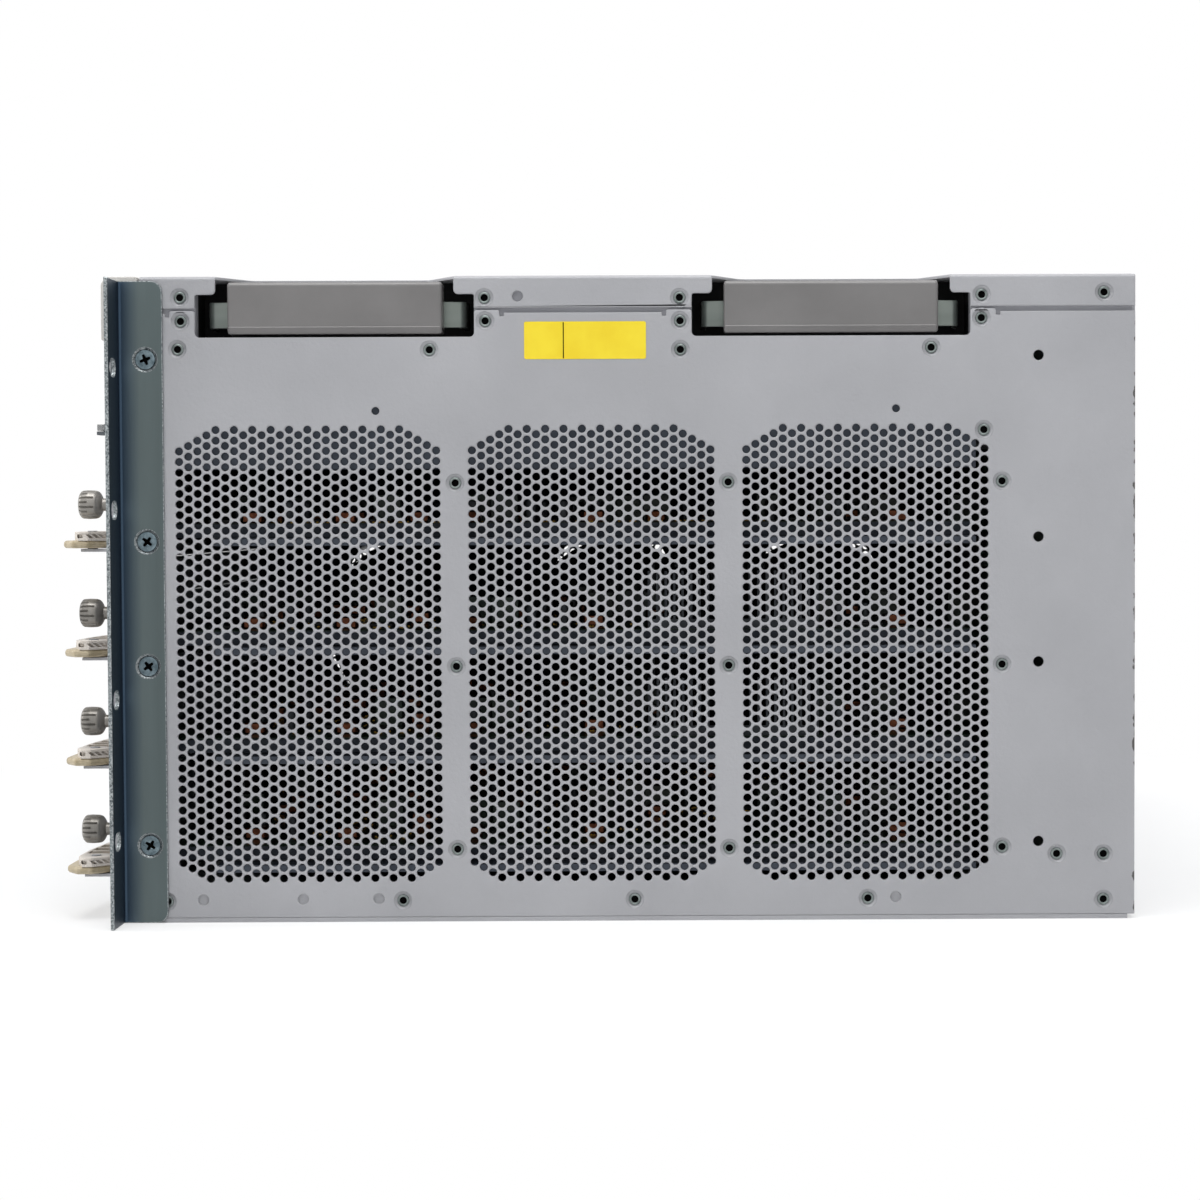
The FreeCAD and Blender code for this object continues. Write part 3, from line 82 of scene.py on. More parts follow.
# dark and light are the two ends of a finish's clouding; clump and grain are its sizes
# and peel its relief, in mm
finishes = {
    # polyester powder coat on steel: satin, with the orange peel that baking leaves
    "paint": {"name": "powderCoat", "dark": "A2A2A5", "light": "ABABAE", "rough": 0.42, "clump": 70,
              "grain": 1.5, "peel": 0.14},
    # the same coat, chipped to dull bare steel down the rear edge where the chassis was set down
    "worn": {"name": "wornPowderCoat", "dark": "A2A2A5", "light": "ABABAE", "rough": 0.42, "clump": 70,
             "grain": 1.5, "peel": 0.14},
    # front bezel's warmer coat, paler than the cover's
    "bezel": {"name": "paleBezelCoat", "dark": "D0CCC6", "light": "D8D5D0", "rough": 0.4, "grain": 1.1,
              "peel": 0.04},
    # grey coat where the pocket's sheet turns in; deeper in, its walls are painted near black as painted shade
    "pocket": {"name": "pocketCoat", "dark": "929296", "light": "9C9CA0", "rough": 0.6, "grain": 1.1,
               "peel": 0.04, "gloss": 0.2},
    # blue-passivated zinc on steel: cool, cloudy, long fine scratches; darker, bluer painted shade near the
    # bend and on the flange
    "ear": {"name": "passivatedZinc", "dark": "586263", "light": "657071", "rough": 0.4, "metal": 1.0,
            "clump": 30, "grain": 0.7, "peel": 0.012, "stretch": (1, 1, 0.05)},
    # sheared edge of the same plate: the blade tears bright grains out of it
    "sheared": {"name": "shearedSteel", "dark": "4A5155", "light": "ACB2B3", "rough": 0.35,
                "metal": 0.5, "clump": 0.7, "grain": 0.4, "peel": 0.02},
    # hot-dip galvanised sheet: dull grey with a soft spangle
    "steel": {"name": "galvanisedSteel", "dark": "63676B", "light": "6B6F73", "rough": 0.46,
              "metal": 0.8, "clump": 5, "grain": 0.8, "peel": 0.01},
    # the same sheet inside, dulled by dust and painted far darker than outside as painted shade
    "inner": {"name": "dustyGalvanised", "dark": "383D46", "light": "464C56", "rough": 0.62,
              "metal": 0.4, "clump": 14, "grain": 1.2, "peel": 0.01},
    # hard-rolled spring steel with clear zinc: brighter, drawn along its length
    "strap": {"name": "springSteel", "dark": "6C7470", "light": "868E88", "rough": 0.32, "metal": 0.4,
              "clump": 20, "grain": 0.5, "peel": 0.01, "stretch": (1, 0.08, 1)},
    # glass-filled nylon from a spark-eroded mould: a broad soft gloss
    "grip": {"name": "greyNylon", "dark": "6E6C6B", "light": "767473", "rough": 0.38, "clump": 25,
             "grain": 0.5, "peel": 0.02},
    # moulded ABS gone slightly yellow
    "lever": {"name": "warmAbs", "dark": "D2C9BE", "light": "DDD5CB", "rough": 0.42, "clump": 10,
              "grain": 0.5, "peel": 0.02},
    # the lower leaf has aged to beige and is faintly mottled
    "leaf": {"name": "beigeAbs", "dark": "A7987A", "light": "BDAF93", "rough": 0.4, "clump": 3,
             "grain": 0.6, "peel": 0.03},
    "latch": {"name": "paleAbs", "dark": "9C9C9B", "light": "A8A8A7", "rough": 0.4, "clump": 8,
              "grain": 0.5, "peel": 0.02},
    # unfilled black PBT of fans and sockets: glossy where the mould was polished
    "black": {"name": "blackPbt", "dark": "17181A", "light": "202123", "rough": 0.36, "clump": 12,
              "grain": 0.6, "peel": 0.015},
    # dull nickel over a turned part: fine rings from the lathe
    "nickel": {"name": "dullNickel", "dark": "77746F", "light": "99958F", "rough": 0.34, "metal": 0.45,
               "clump": 6, "grain": 0.35, "peel": 0.01, "stretch": (0.1, 1, 0.1)},
    "screw": {"name": "blueZincScrew", "dark": "4E5C63", "light": "74838A", "rough": 0.28,
              "metal": 1.0, "clump": 2.5, "grain": 0.4, "peel": 0.01},
    # tinned rivet heads: pale, slightly greenish
    "rivet": {"name": "tinnedRivet", "dark": "6A7270", "light": "868E8C", "rough": 0.35, "metal": 0.7,
              "clump": 2, "grain": 0.4, "peel": 0.01},
    # extruded and milled aluminium of the heat sinks
    "sink": {"name": "milledAluminium", "dark": "3A3D41", "light": "4A4D51", "rough": 0.4,
             "metal": 0.9, "clump": 8, "grain": 0.4, "peel": 0.01, "stretch": (0.08, 1, 1)},
    # tinned shells round the sockets
    "cage": {"name": "tinnedShell", "dark": "70757A", "light": "83888C", "rough": 0.32, "metal": 0.7,
             "clump": 8, "grain": 0.5, "peel": 0.01},
    # green solder mask over copper: glossy
    "board": {"name": "solderMask", "dark": "17301F", "light": "1F3C29", "rough": 0.3, "clump": 18,
              "grain": 2.4, "peel": 0.02},
    "copper": {"name": "enamelledCopper", "dark": "5A3424", "light": "7E4C34", "rough": 0.3,
               "metal": 0.9, "clump": 2, "grain": 0.4, "peel": 0.02},
    "gold": {"name": "goldFlash", "dark": "8E6E30", "light": "A6853F", "rough": 0.3, "metal": 1.0,
             "clump": 2, "grain": 0.4, "peel": 0.005},
    "chip": {"name": "mouldedEpoxy", "dark": "1E1E20", "light": "28282A", "rough": 0.5, "clump": 5,
             "grain": 0.3, "peel": 0.01},
    "lens": {"name": "tintedLens", "dark": "3E6B3A", "light": "4A7A44", "rough": 0.2, "clump": 3,
             "grain": 0.6, "peel": 0.002},
    # matt polyester label stock
    "label": {"name": "yellowPolyester", "dark": "F0D21A", "light": "F6DC28", "rough": 0.4,
              "clump": 12, "grain": 0.8, "peel": 0.005},
    # near black: painted shade closing bores, countersinks and air holes, and the label's printed divider
    "pit": {"name": "bareBore", "dark": "030303", "light": "060606", "rough": 0.9, "clump": 3,
            "grain": 0.5, "peel": 0.005, "gloss": 0.05},
    # seamless background paper
    "paper": {"name": "paperSweep", "dark": "F2F2F2", "light": "F6F6F6", "rough": 0.9, "clump": 200,
              "grain": 4, "peel": 0.01},
}


def makeFinish(name, dark, light, rough, metal=0.0, clump=30, grain=0.8, peel=0.02, stretch=(1, 1, 1),
               gloss=0.5):
    material = bpy.data.materials.new(name)
    material.use_nodes = True
    tree = material.node_tree
    tree.nodes.clear()
    spot = addNode(tree, "ShaderNodeTexCoord").outputs["Object"]
    drawn = addNode(tree, "ShaderNodeMapping", values={"Scale": stretch}, links={"Vector": spot})
    clouds = addNode(tree, "ShaderNodeTexNoise", values={"Scale": 1 / (clump * mm), "Detail": 4.0},
                     links={"Vector": drawn.outputs["Vector"]})
    fade = addNode(tree, "ShaderNodeMapRange", values={"From Min": 0.35, "From Max": 0.65},
                   links={"Value": clouds.outputs["Fac"]})
    tint = addNode(tree, "ShaderNodeMix", {"data_type": "RGBA"}, {6: hexColour(dark), 7: hexColour(light)},
                   {0: fade.outputs["Result"]})
    grains = addNode(tree, "ShaderNodeTexNoise", values={"Scale": 1 / (grain * mm), "Detail": 2.0},
                     links={"Vector": drawn.outputs["Vector"]})
    shine = addNode(tree, "ShaderNodeMapRange", values={"To Min": rough - 0.07, "To Max": rough + 0.09},
                    links={"Value": grains.outputs["Fac"]})
    relief = addNode(tree, "ShaderNodeBump", values={"Distance": peel * mm},
                     links={"Height": grains.outputs["Fac"]})
    surface = addNode(tree, "ShaderNodeBsdfPrincipled",
                      values={"Metallic": metal, "Specular IOR Level": gloss},
                      links={"Base Color": tint.outputs[2], "Roughness": shine.outputs["Result"],
                             "Normal": relief.outputs["Normal"]})
    addNode(tree, "ShaderNodeOutputMaterial", links={"Surface": surface.outputs["BSDF"]})
    return material


# a second colour where the surface's own coordinate runs from low to high,
# broken up by clouds of size ragged
def zone(material, axis, low, high, colour, ragged=0.0, mirrored=False):
    tree = material.node_tree
    surface = tree.nodes["Principled BSDF"]
    before = surface.inputs["Base Color"].links[0].from_socket
    spot = tree.nodes["Texture Coordinate"].outputs["Object"]
    along = addNode(tree, "ShaderNodeSeparateXYZ", links={"Vector": spot}).outputs[axis]
    if mirrored:
        along = addNode(tree, "ShaderNodeMath", {"operation": "ABSOLUTE"}, links={0: along}).outputs[0]
    share = addNode(tree, "ShaderNodeMapRange", values={"From Min": low, "From Max": high},
                    links={"Value": along}).outputs["Result"]
    if ragged:
        flakes = addNode(tree, "ShaderNodeTexNoise", values={"Scale": 1 / ragged, "Detail": 6.0},
                         links={"Vector": spot})
        torn = addNode(tree, "ShaderNodeMath", {"operation": "MULTIPLY"},
                       links={0: share, 1: flakes.outputs["Fac"]})
        share = addNode(tree, "ShaderNodeMapRange", values={"From Min": 0.5, "From Max": 0.53},
                        links={"Value": torn.outputs[0]}).outputs["Result"]
    mix = addNode(tree, "ShaderNodeMix", {"data_type": "RGBA"}, {7: hexColour(colour)},
                  {0: share, 6: before})
    tree.links.new(mix.outputs[2], surface.inputs["Base Color"])


finish = {key: makeFinish(**facts) for key, facts in finishes.items()}
zone(finish["worn"], "Y", rearY - 5 * mm, rearY, "4E4C4A", 5 * mm)
# painted shade: the pocket's walls fade to near black from 7.5 to 9 mm inside the side faces
zone(finish["pocket"], "X", sideX - 7.5 * mm, sideX - 9 * mm, "0C0C0E", 0.0, True)
# painted shade: darker, bluer zinc over the last 7 mm of the side plate before the bend
zone(finish["ear"], "Y", frontY + 11 * mm, frontY + 4 * mm, "3C4C5C")
# painted shade: the ear's flange is darker and bluer still, fading in between 2.2 and 4 mm out from the panel
zone(finish["ear"], "X", sideX + 2.2 * mm, sideX + 4 * mm, "38434F", 0.0, True)
print("finishes made:", len(finish))


# weighs normals by area, so that a rounded rim doesn't shade the flat beside it
def evenNormals(piece):
    modifier = piece.modifiers.new("even", "WEIGHTED_NORMAL")
    modifier.keep_sharp = True
    depsgraph = bpy.context.evaluated_depsgraph_get()
    mesh = bpy.data.meshes.new_from_object(piece.evaluated_get(depsgraph), depsgraph=depsgraph)
    piece.modifiers.clear()
    piece.data = mesh


def newPiece(name, bm, key, body="chassis", stands=(), smooth=30):
    mesh = bpy.data.meshes.new(name)
    bm.normal_update()
    bm.to_mesh(mesh)
    bm.free()
    for part in key if isinstance(key, tuple) else (key,):
        mesh.materials.append(finish[part])
    mesh.shade_smooth()
    mesh.set_sharp_from_angle(angle=math.radians(smooth))
    piece = bpy.data.objects.new(name, mesh)
    bpy.context.collection.objects.link(piece)
    evenNormals(piece)
    if body:
        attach(piece, body)
    if stands:
        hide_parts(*stands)
    return piece


# corners are (a, b, radius): a corner with a radius becomes an arc
def roundedLoop(corners, step=6):
    loop = []
    count = len(corners)
    for i, (a, b, radius) in enumerate(corners):
        here = Vector((a, b))
        if radius <= 0:
            loop.append(here)
            continue
        before = (Vector(corners[i - 1][:2]) - here).normalized()
        after = (Vector(corners[(i + 1) % count][:2]) - here).normalized()
        half = before.angle(after) / 2
        reach = radius / math.tan(half)
        middle = here + (before + after).normalized() * (radius / math.sin(half))
        start = here + before * reach - middle
        turn = start.angle_signed(here + after * reach - middle)
        for k in range(step + 1):
            spot = start.copy()
            spot.rotate(Matrix.Rotation(-turn * k / step, 2))
            loop.append(middle + spot)
    return loop


def boxLoop(a0, a1, b0, b1, radius=0.0, step=3):
    return roundedLoop([(a0, b0, radius), (a1, b0, radius), (a1, b1, radius), (a0, b1, radius)], step)


def circleLoop(a, b, radius, count=20):
    turns = [2 * math.pi * k / count for k in range(count)]
    return [Vector((a + radius * math.cos(t), b + radius * math.sin(t))) for t in turns]


def slotLoop(a, b, long, wide):
    radius = wide / 2
    turns = [math.pi * (k / 8 - 0.5) for k in range(9)]
    return [Vector((a + (long / 2 - radius + radius * math.cos(t)) * s, b + radius * math.sin(t) * s))
            for s in (1, -1) for t in turns]


def loopArea(loop):
    return sum(p.x * q.y - q.x * p.y for p, q in zip(loop, loop[1:] + loop[:1])) / 2


# moves a loop towards the material, which lies on its left
def insetLoop(loop, amount):
    moved = []
    for i, here in enumerate(loop):
        before = (here - loop[i - 1]).normalized()
        after = (loop[(i + 1) % len(loop)] - here).normalized()
        normal = Vector((-before.y - after.y, before.x + after.x))
        if normal.length < 1e-6:
            normal = Vector((-before.y, before.x))
        normal.normalize()
        lean = max(0.4, normal.dot(Vector((-before.y, before.x))))
        moved.append(here + normal * amount / lean)
    return moved


# flat sheet with its outer face at z = 0; openings join onto perforated fields, so they have no wall; cut is
# the material slot of its edges
def sheetMetal(outline, holes, openings, thick, rim, cut=0):
    bm = bmesh.new()
    faceEdges = {1: [], -1: []}
    loops = [(outline, True, True)] + [(h, True, False) for h in holes]
    loops += [(o, False, False) for o in openings]
    for loop, walled, outer in loops:
        if (loopArea(loop) > 0) != outer:
            loop = loop[::-1]
        levels = [(rim, 0.0), (rim * 0.3, -rim * 0.3), (0.0, -rim), (0.0, -thick)] if walled else \
            [(0.0, 0.0), (0.0, -thick)]
        rings = [[bm.verts.new((p.x, p.y, z)) for p in (insetLoop(loop, inset) if inset else loop)]
                 for inset, z in levels]
        count = len(loop)
        for key, verts in ((1, rings[0]), (-1, rings[-1])):
            faceEdges[key] += [bm.edges.new((verts[i], verts[(i + 1) % count])) for i in range(count)]
        if walled:
            for upper, lower in zip(rings, rings[1:]):
                for i in range(count):
                    j = (i + 1) % count
                    bm.faces.new((upper[i], lower[i], lower[j], upper[j])).material_index = cut
    for up, edges in faceEdges.items():
        filled = bmesh.ops.triangle_fill(bm, use_beauty=True, use_dissolve=False, edges=edges)
        for face in filled["geom"]:
            if isinstance(face, bmesh.types.BMFace):
                face.normal_update()
                if face.normal.z * up < 0:
                    face.normal_flip()
    return bm


# bends what lies beyond a = start by a right angle; turn 1 folds away from the outer face
def foldSheet(bm, start, radius, thick, turn=1, pieces=6):
    reach = radius * math.pi / 2
    for k in range(pieces + 1):
        geometry = bm.verts[:] + bm.edges[:] + bm.faces[:]
        bmesh.ops.bisect_plane(bm, geom=geometry, plane_co=(start + reach * k / pieces, 0, 0),
                               plane_no=(1, 0, 0), dist=1e-7)
    for vert in bm.verts:
        a, _, t = vert.co
        if a <= start:
            continue
        depth = t if turn > 0 else -thick - t
        if a < start + reach:
            angle = (a - start) / radius
            spot = start + (radius + depth) * math.sin(angle), (radius + depth) * math.cos(angle) - radius
        else:
            spot = start + radius + depth, -radius - (a - start - reach)
        vert.co.x = spot[0]
        vert.co.z = spot[1] if turn > 0 else -thick - spot[1]


# sets a flat piece up in the chassis: columns are where its a, b and outward axes point
def stand(bm, columns, origin):
    basis = Matrix(columns).transposed().to_4x4()
    bmesh.ops.transform(bm, matrix=Matrix.Translation(origin) @ basis, verts=bm.verts)
    if basis.determinant() < 0:
        bmesh.ops.reverse_faces(bm, faces=bm.faces)
    return bm


outward = {"right": ((0, 1, 0), (0, 0, 1), (1, 0, 0)), "left": ((0, 1, 0), (0, 0, 1), (-1, 0, 0)),
           "front": ((1, 0, 0), (0, 0, 1), (0, -1, 0)), "rear": ((1, 0, 0), (0, 0, 1), (0, 1, 0)),
           "up": ((1, 0, 0), (0, 1, 0), (0, 0, 1))}
facing = {"right": Euler((math.radians(90), 0, math.radians(90))),
          "left": Euler((math.radians(90), 0, math.radians(-90))),
          "front": Euler((math.radians(90), 0, 0)), "rear": Euler((math.radians(90), 0, math.radians(180))),
          "up": Euler((0, 0, 0))}


# solid with rounded edges from a loop, between two heights
def prism(bm, loop, low, high, soft, steps=2):
    if loopArea(loop) < 0:
        loop = loop[::-1]
    turns = [math.pi / 2 * k / steps for k in range(steps + 1)]
    levels = [(soft * (1 - math.sin(t)), low + soft * (1 - math.cos(t))) for t in turns]
    levels += [(soft * (1 - math.cos(t)), high - soft * (1 - math.sin(t))) for t in turns]
    rings = [[bm.verts.new((p.x, p.y, z)) for p in insetLoop(loop, inset)] for inset, z in levels]
    for lower, upper in zip(rings, rings[1:]):
        for i in range(len(loop)):
            j = (i + 1) % len(loop)
            bm.faces.new((lower[i], lower[j], upper[j], upper[i]))
    bm.faces.new(rings[0][::-1])
    bm.faces.new(rings[-1])
    return bm


def slab(low, high, soft=0.3 * mm, bm=None):
    outline = boxLoop(low[0], high[0], low[1], high[1], soft * 1.5, 1)
    return prism(bm or bmesh.new(), outline, low[2], high[2], soft, 1)


# turned solid about the z axis: rows of (height, radius), and shape() may pull a point in
def turned(bm, rows, columns, shape=None):
    rings = []
    for height, radius in rows:
        turns = [2 * math.pi * k / columns for k in range(columns)]
        reach = [radius - (shape(k, height) if shape else 0.0) for k in range(columns)]
        rings.append([bm.verts.new((r * math.cos(t), r * math.sin(t), height))
                      for r, t in zip(reach, turns)])
    for lower, upper in zip(rings, rings[1:]):
        for i in range(columns):
            j = (i + 1) % columns
            bm.faces.new((lower[i], lower[j], upper[j], upper[i]))
    bm.faces.new(rings[0][::-1])
    bm.faces.new(rings[-1])
    return bm


def pointsObject(name, spots):
    mesh = bpy.data.meshes.new(name)
    mesh.from_pydata([tuple(s) for s in spots], [], [])
    holder = bpy.data.objects.new(name, mesh)
    bpy.context.collection.objects.link(holder)
    return holder


def newTree(name, inputs):
    tree = bpy.data.node_groups.new(name, "GeometryNodeTree")
    tree.interface.new_socket("Geometry", in_out="INPUT", socket_type="NodeSocketGeometry")
    for label, kind in inputs:
        tree.interface.new_socket(label, in_out="INPUT", socket_type="NodeSocket" + kind)
    tree.interface.new_socket("Geometry", in_out="OUTPUT", socket_type="NodeSocketGeometry")
    return tree, addNode(tree, "NodeGroupInput").outputs, addNode(tree, "NodeGroupOutput").inputs


# runs a tree on points and keeps the result as a plain mesh
def grow(name, spots, tree, values, body="chassis", stands=(), smooth=35):
    holder = pointsObject(name, spots)
    modifier = holder.modifiers.new(name, "NODES")
    modifier.node_group = tree
    for item in tree.interface.items_tree:
        if item.in_out == "INPUT" and item.name in values:
            modifier[item.identifier] = values[item.name]
    depsgraph = bpy.context.evaluated_depsgraph_get()
    mesh = bpy.data.meshes.new_from_object(holder.evaluated_get(depsgraph), depsgraph=depsgraph)
    bpy.data.objects.remove(holder)
    mesh.shade_smooth()
    mesh.set_sharp_from_angle(angle=math.radians(smooth))
    piece = bpy.data.objects.new(name, mesh)
    bpy.context.collection.objects.link(piece)
    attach(piece, body)
    if stands:
        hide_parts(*stands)
    return piece


# a turned part at every point: each level has a radius and a height,
# and Cell adds a hexagon of sheet round it
def turnedTree(name, levels, celled=False, pitted=True):
    inputs = [("Sides", "Int"), ("Cell", "Float"), ("Turn", "Rotation")]
    inputs += [("Finish", "Material"), ("Pit", "Material")]
    for level in levels:
        inputs += [(level + " Radius", "Float"), (level + " Height", "Float")]
    tree, get, result = newTree(name, inputs)
    cell = addNode(tree, "GeometryNodeJoinGeometry")
    lifts = {}
    for level in levels:
        lift = addNode(tree, "ShaderNodeCombineXYZ", links={"Z": get[level + " Height"]})
        lifts[level] = lift.outputs["Vector"]
    for upper, lower in zip(levels, levels[1:]):
        deep = addNode(tree, "ShaderNodeMath", {"operation": "SUBTRACT"},
                       links={0: get[upper + " Height"], 1: get[lower + " Height"]})
        wall = addNode(tree, "GeometryNodeMeshCone", {"fill_type": "NONE"},
                       links={"Vertices": get["Sides"], "Radius Top": get[upper + " Radius"],
                              "Radius Bottom": get[lower + " Radius"], "Depth": deep.outputs["Value"]})
        moved = addNode(tree, "GeometryNodeTransform",
                        links={"Geometry": wall.outputs["Mesh"], "Translation": lifts[lower]})
        inner = addNode(tree, "GeometryNodeFlipFaces", links={"Mesh": moved.outputs["Geometry"]})
        coat = addNode(tree, "GeometryNodeSetMaterial",
                       links={"Geometry": inner.outputs[0], "Material": get["Finish"]})
        tree.links.new(coat.outputs[0], cell.inputs[0])
    if celled:
        hexagon = addNode(tree, "GeometryNodeCurvePrimitiveCircle", values={"Resolution": 6},
                          links={"Radius": get["Cell"]})
        for level in (levels[0], levels[-1]):
            ring = addNode(tree, "GeometryNodeCurvePrimitiveCircle",
                           links={"Resolution": get["Sides"], "Radius": get[level + " Radius"]})
            both = addNode(tree, "GeometryNodeJoinGeometry")
            tree.links.new(hexagon.outputs["Curve"], both.inputs[0])
            tree.links.new(ring.outputs["Curve"], both.inputs[0])
            flat = addNode(tree, "GeometryNodeFillCurve", links={"Curve": both.outputs[0]})
            moved = addNode(tree, "GeometryNodeTransform",
                            links={"Geometry": flat.outputs["Mesh"], "Translation": lifts[level]})
            if level == levels[-1]:
                moved = addNode(tree, "GeometryNodeFlipFaces", links={"Mesh": moved.outputs["Geometry"]})
            coat = addNode(tree, "GeometryNodeSetMaterial",
                           links={"Geometry": moved.outputs[0], "Material": get["Finish"]})
            tree.links.new(coat.outputs[0], cell.inputs[0])
    # the last level is closed by a disc in the Pit finish: near-black painted shade in the bore
    if pitted:
        disc = addNode(tree, "GeometryNodeMeshCircle", {"fill_type": "NGON"},
                       links={"Vertices": get["Sides"], "Radius": get[levels[-1] + " Radius"]})
        moved = addNode(tree, "GeometryNodeTransform",
                        links={"Geometry": disc.outputs["Mesh"], "Translation": lifts[levels[-1]]})
        dark = addNode(tree, "GeometryNodeSetMaterial",
                       links={"Geometry": moved.outputs[0], "Material": get["Pit"]})
        tree.links.new(dark.outputs[0], cell.inputs[0])
    points = addNode(tree, "GeometryNodeInstanceOnPoints",
                     links={"Points": get["Geometry"], "Instance": cell.outputs[0], "Rotation": get["Turn"]})
    real = addNode(tree, "GeometryNodeRealizeInstances", links={"Geometry": points.outputs[0]})
    welded = addNode(tree, "GeometryNodeMergeByDistance", values={"Distance": 0.00001},
                     links={"Geometry": real.outputs[0]})
    tree.links.new(welded.outputs[0], result[0])
    return tree


# the same piece at every point, each swung by a chance angle about its own axis
def copiesTree():
    tree, get, result = newTree("copies", [("Piece", "Object"), ("Turn", "Rotation"), ("Spread", "Float"),
                                           ("Seed", "Int"), ("Finish", "Material")])
    info = addNode(tree, "GeometryNodeObjectInfo", links={"Object": get["Piece"]})
    low = addNode(tree, "ShaderNodeMath", {"operation": "MULTIPLY"}, {1: -1.0}, {0: get["Spread"]})
    chance = addNode(tree, "FunctionNodeRandomValue", {"data_type": "FLOAT"},
                     links={2: low.outputs["Value"], 3: get["Spread"], "Seed": get["Seed"]})
    swing = addNode(tree, "ShaderNodeCombineXYZ", links={"Z": chance.outputs[1]})
    points = addNode(tree, "GeometryNodeInstanceOnPoints",
                     links={"Points": get["Geometry"], "Instance": info.outputs["Geometry"],
                            "Rotation": get["Turn"]})
    spun = addNode(tree, "GeometryNodeRotateInstances",
                   links={"Instances": points.outputs[0], "Rotation": swing.outputs["Vector"]})
    real = addNode(tree, "GeometryNodeRealizeInstances", links={"Geometry": spun.outputs[0]})
    coat = addNode(tree, "GeometryNodeSetMaterial",
                   links={"Geometry": real.outputs[0], "Material": get["Finish"]})
    tree.links.new(coat.outputs[0], result[0])
    return tree


copies = copiesTree()


# lays copies of a mesh at points; the mesh lies in the plane z = 0 and faces up before it is turned
def repeat(name, bm, key, spots, toward, body="chassis", stands=(), spread=0.0, seed=1):
    master = newPiece(name + "_one", bm, key, None)
    bpy.context.collection.objects.unlink(master)
    return grow(name, spots, copies, {"Piece": master, "Turn": facing[toward], "Spread": spread, "Seed": seed,
                                      "Finish": finish[key]}, body, stands)


vents = {
    "pitch": 4.3 * mm,
    "hole": 3.34 * mm,
    "rim": 0.42 * mm,                   # punching leaves the web between two holes domed
    "starts": (26.4 * mm, 145.2 * mm, 256.6 * mm),      # first column behind the front plane
    "columns": (29, 27, 27),
    "top": 192.0 * mm,                  # height of row 0
    "sides": {"right": 11, "left": 8},
}


def ventCells(field):                   # centres as (behind the front plane, height), corners cut
    cells = []
    count = vents["columns"][field]
    for column in range(count):
        inward = min(column, count - 1 - column)
        half = 0.5 * (column % 2)
        first = -0.5 * inward if inward < 4 else -2 + half
        last = 39 + 0.5 * inward if inward < 3 else 40 + half
        for row in range(int(round(last - first)) + 1):
            cells.append((vents["starts"][field] + vents["pitch"] * math.sqrt(3) / 2 * column,
                          vents["top"] - vents["pitch"] * (first + row)))
    return cells


def fieldEdge(cells):                   # the zigzag outline round a field of hexagons
    radius = vents["pitch"] / math.sqrt(3)
    spots = {}
    edges = {}
    for a, b in cells:
        keys = []
        for k in range(6):
            spot = Vector((a + radius * math.cos(math.pi / 3 * k), b + radius * math.sin(math.pi / 3 * k)))
            key = (round(spot.x / (0.05 * mm)), round(spot.y / (0.05 * mm)))
            for near in ((key[0] + i, key[1] + j) for i in (-1, 0, 1) for j in (-1, 0, 1)):
                if near in spots:
                    key = near
            spots.setdefault(key, spot)
            keys.append(key)
        for k in range(6):
            edges[(keys[k], keys[(k + 1) % 6])] = True
    following = {p: q for p, q in edges if (q, p) not in edges}
    loop = [next(iter(following))]
    while following[loop[-1]] != loop[0]:
        loop.append(following[loop[-1]])
    return [spots[key] for key in loop]


perforation = turnedTree("perforation", ["Mouth", "Waist", "Bore", "Back"], celled=True, pitted=False)
fieldEdges = []
for field, place in enumerate(("front", "middle", "rear")):
    cells = ventCells(field)
    fieldEdges.append(fieldEdge(cells))
    bore = vents["hole"] / 2
    for hand, side in sides:
        grow("%s_%s_vent" % (hand, place), [(sideX * side, frontY + a, b) for a, b in cells], perforation,
             {"Sides": vents["sides"][hand], "Cell": vents["pitch"] / math.sqrt(3), "Turn": facing[hand],
              "Finish": finish["paint"], "Pit": finish["paint"],
              "Mouth Radius": bore + vents["rim"], "Mouth Height": 0.0,
              "Waist Radius": bore + vents["rim"] * 0.35, "Waist Height": -vents["rim"] * 0.3,
              "Bore Radius": bore, "Bore Height": -vents["rim"], "Back Radius": bore, "Back Height": -gauge})
    print("vent", place, len(cells), "holes a side")


panel = {
    "rim": 0.45 * mm,
    "recessWidth": 113.0 * mm,
    "recessFloor": 238.0 * mm,
    "recessCorner": 1.8 * mm,
    "tabDrop": 1.1 * mm,                # the rest of the top edge stands this much lower
    "tabEnd": 10.4 * mm,                # tab beyond the recess
    "notchWidth": 1.7 * mm,
    "notchDepth": 1.5 * mm,
    "dimple": 7.1 * mm,
    # behind the front plane, height
    "rivets": [(27.5, 244.6), (150.9, 244.4), (229.9, 244.2), (352.2, 245.0), (26.2, 233.3), (128.2, 232.8),
               (230.0, 232.6), (331.8, 233.1), (138.3, 178.8), (249.2, 178.8), (360.6, 178.8),
               (353.2, 199.7), (138.3, 104.2), (249.2, 104.2), (360.6, 104.2), (138.3, 29.5),
               (249.2, 29.5), (360.6, 29.5), (382.9, 26.6), (402.0, 26.5), (402.0, 7.9),
               (115.9, 8.6), (210.5, 8.7), (305.7, 8.7), (19.8, 8.6)],
    "holes": [(106.2, 208.1, 3.2), (317.5, 208.4, 3.2), (34.5, 9.2, 4.3), (75.2, 9.3, 4.3),
              (106.1, 9.4, 4.3), (317.1, 9.2, 4.3)],
    "earHoles": [229.8, 156.1, 105.2, 31.8],
    "earRows": (13.4, 375.4),
    # the return behind the cards' thumb screws: from the panel inwards, foot, top, holes
    "return": (1.2, 15.7, 13.8, 193.3),
    "screwX": 208.5,
    "slotFloors": [14.7 + 44.45 * n for n in range(4)],
}


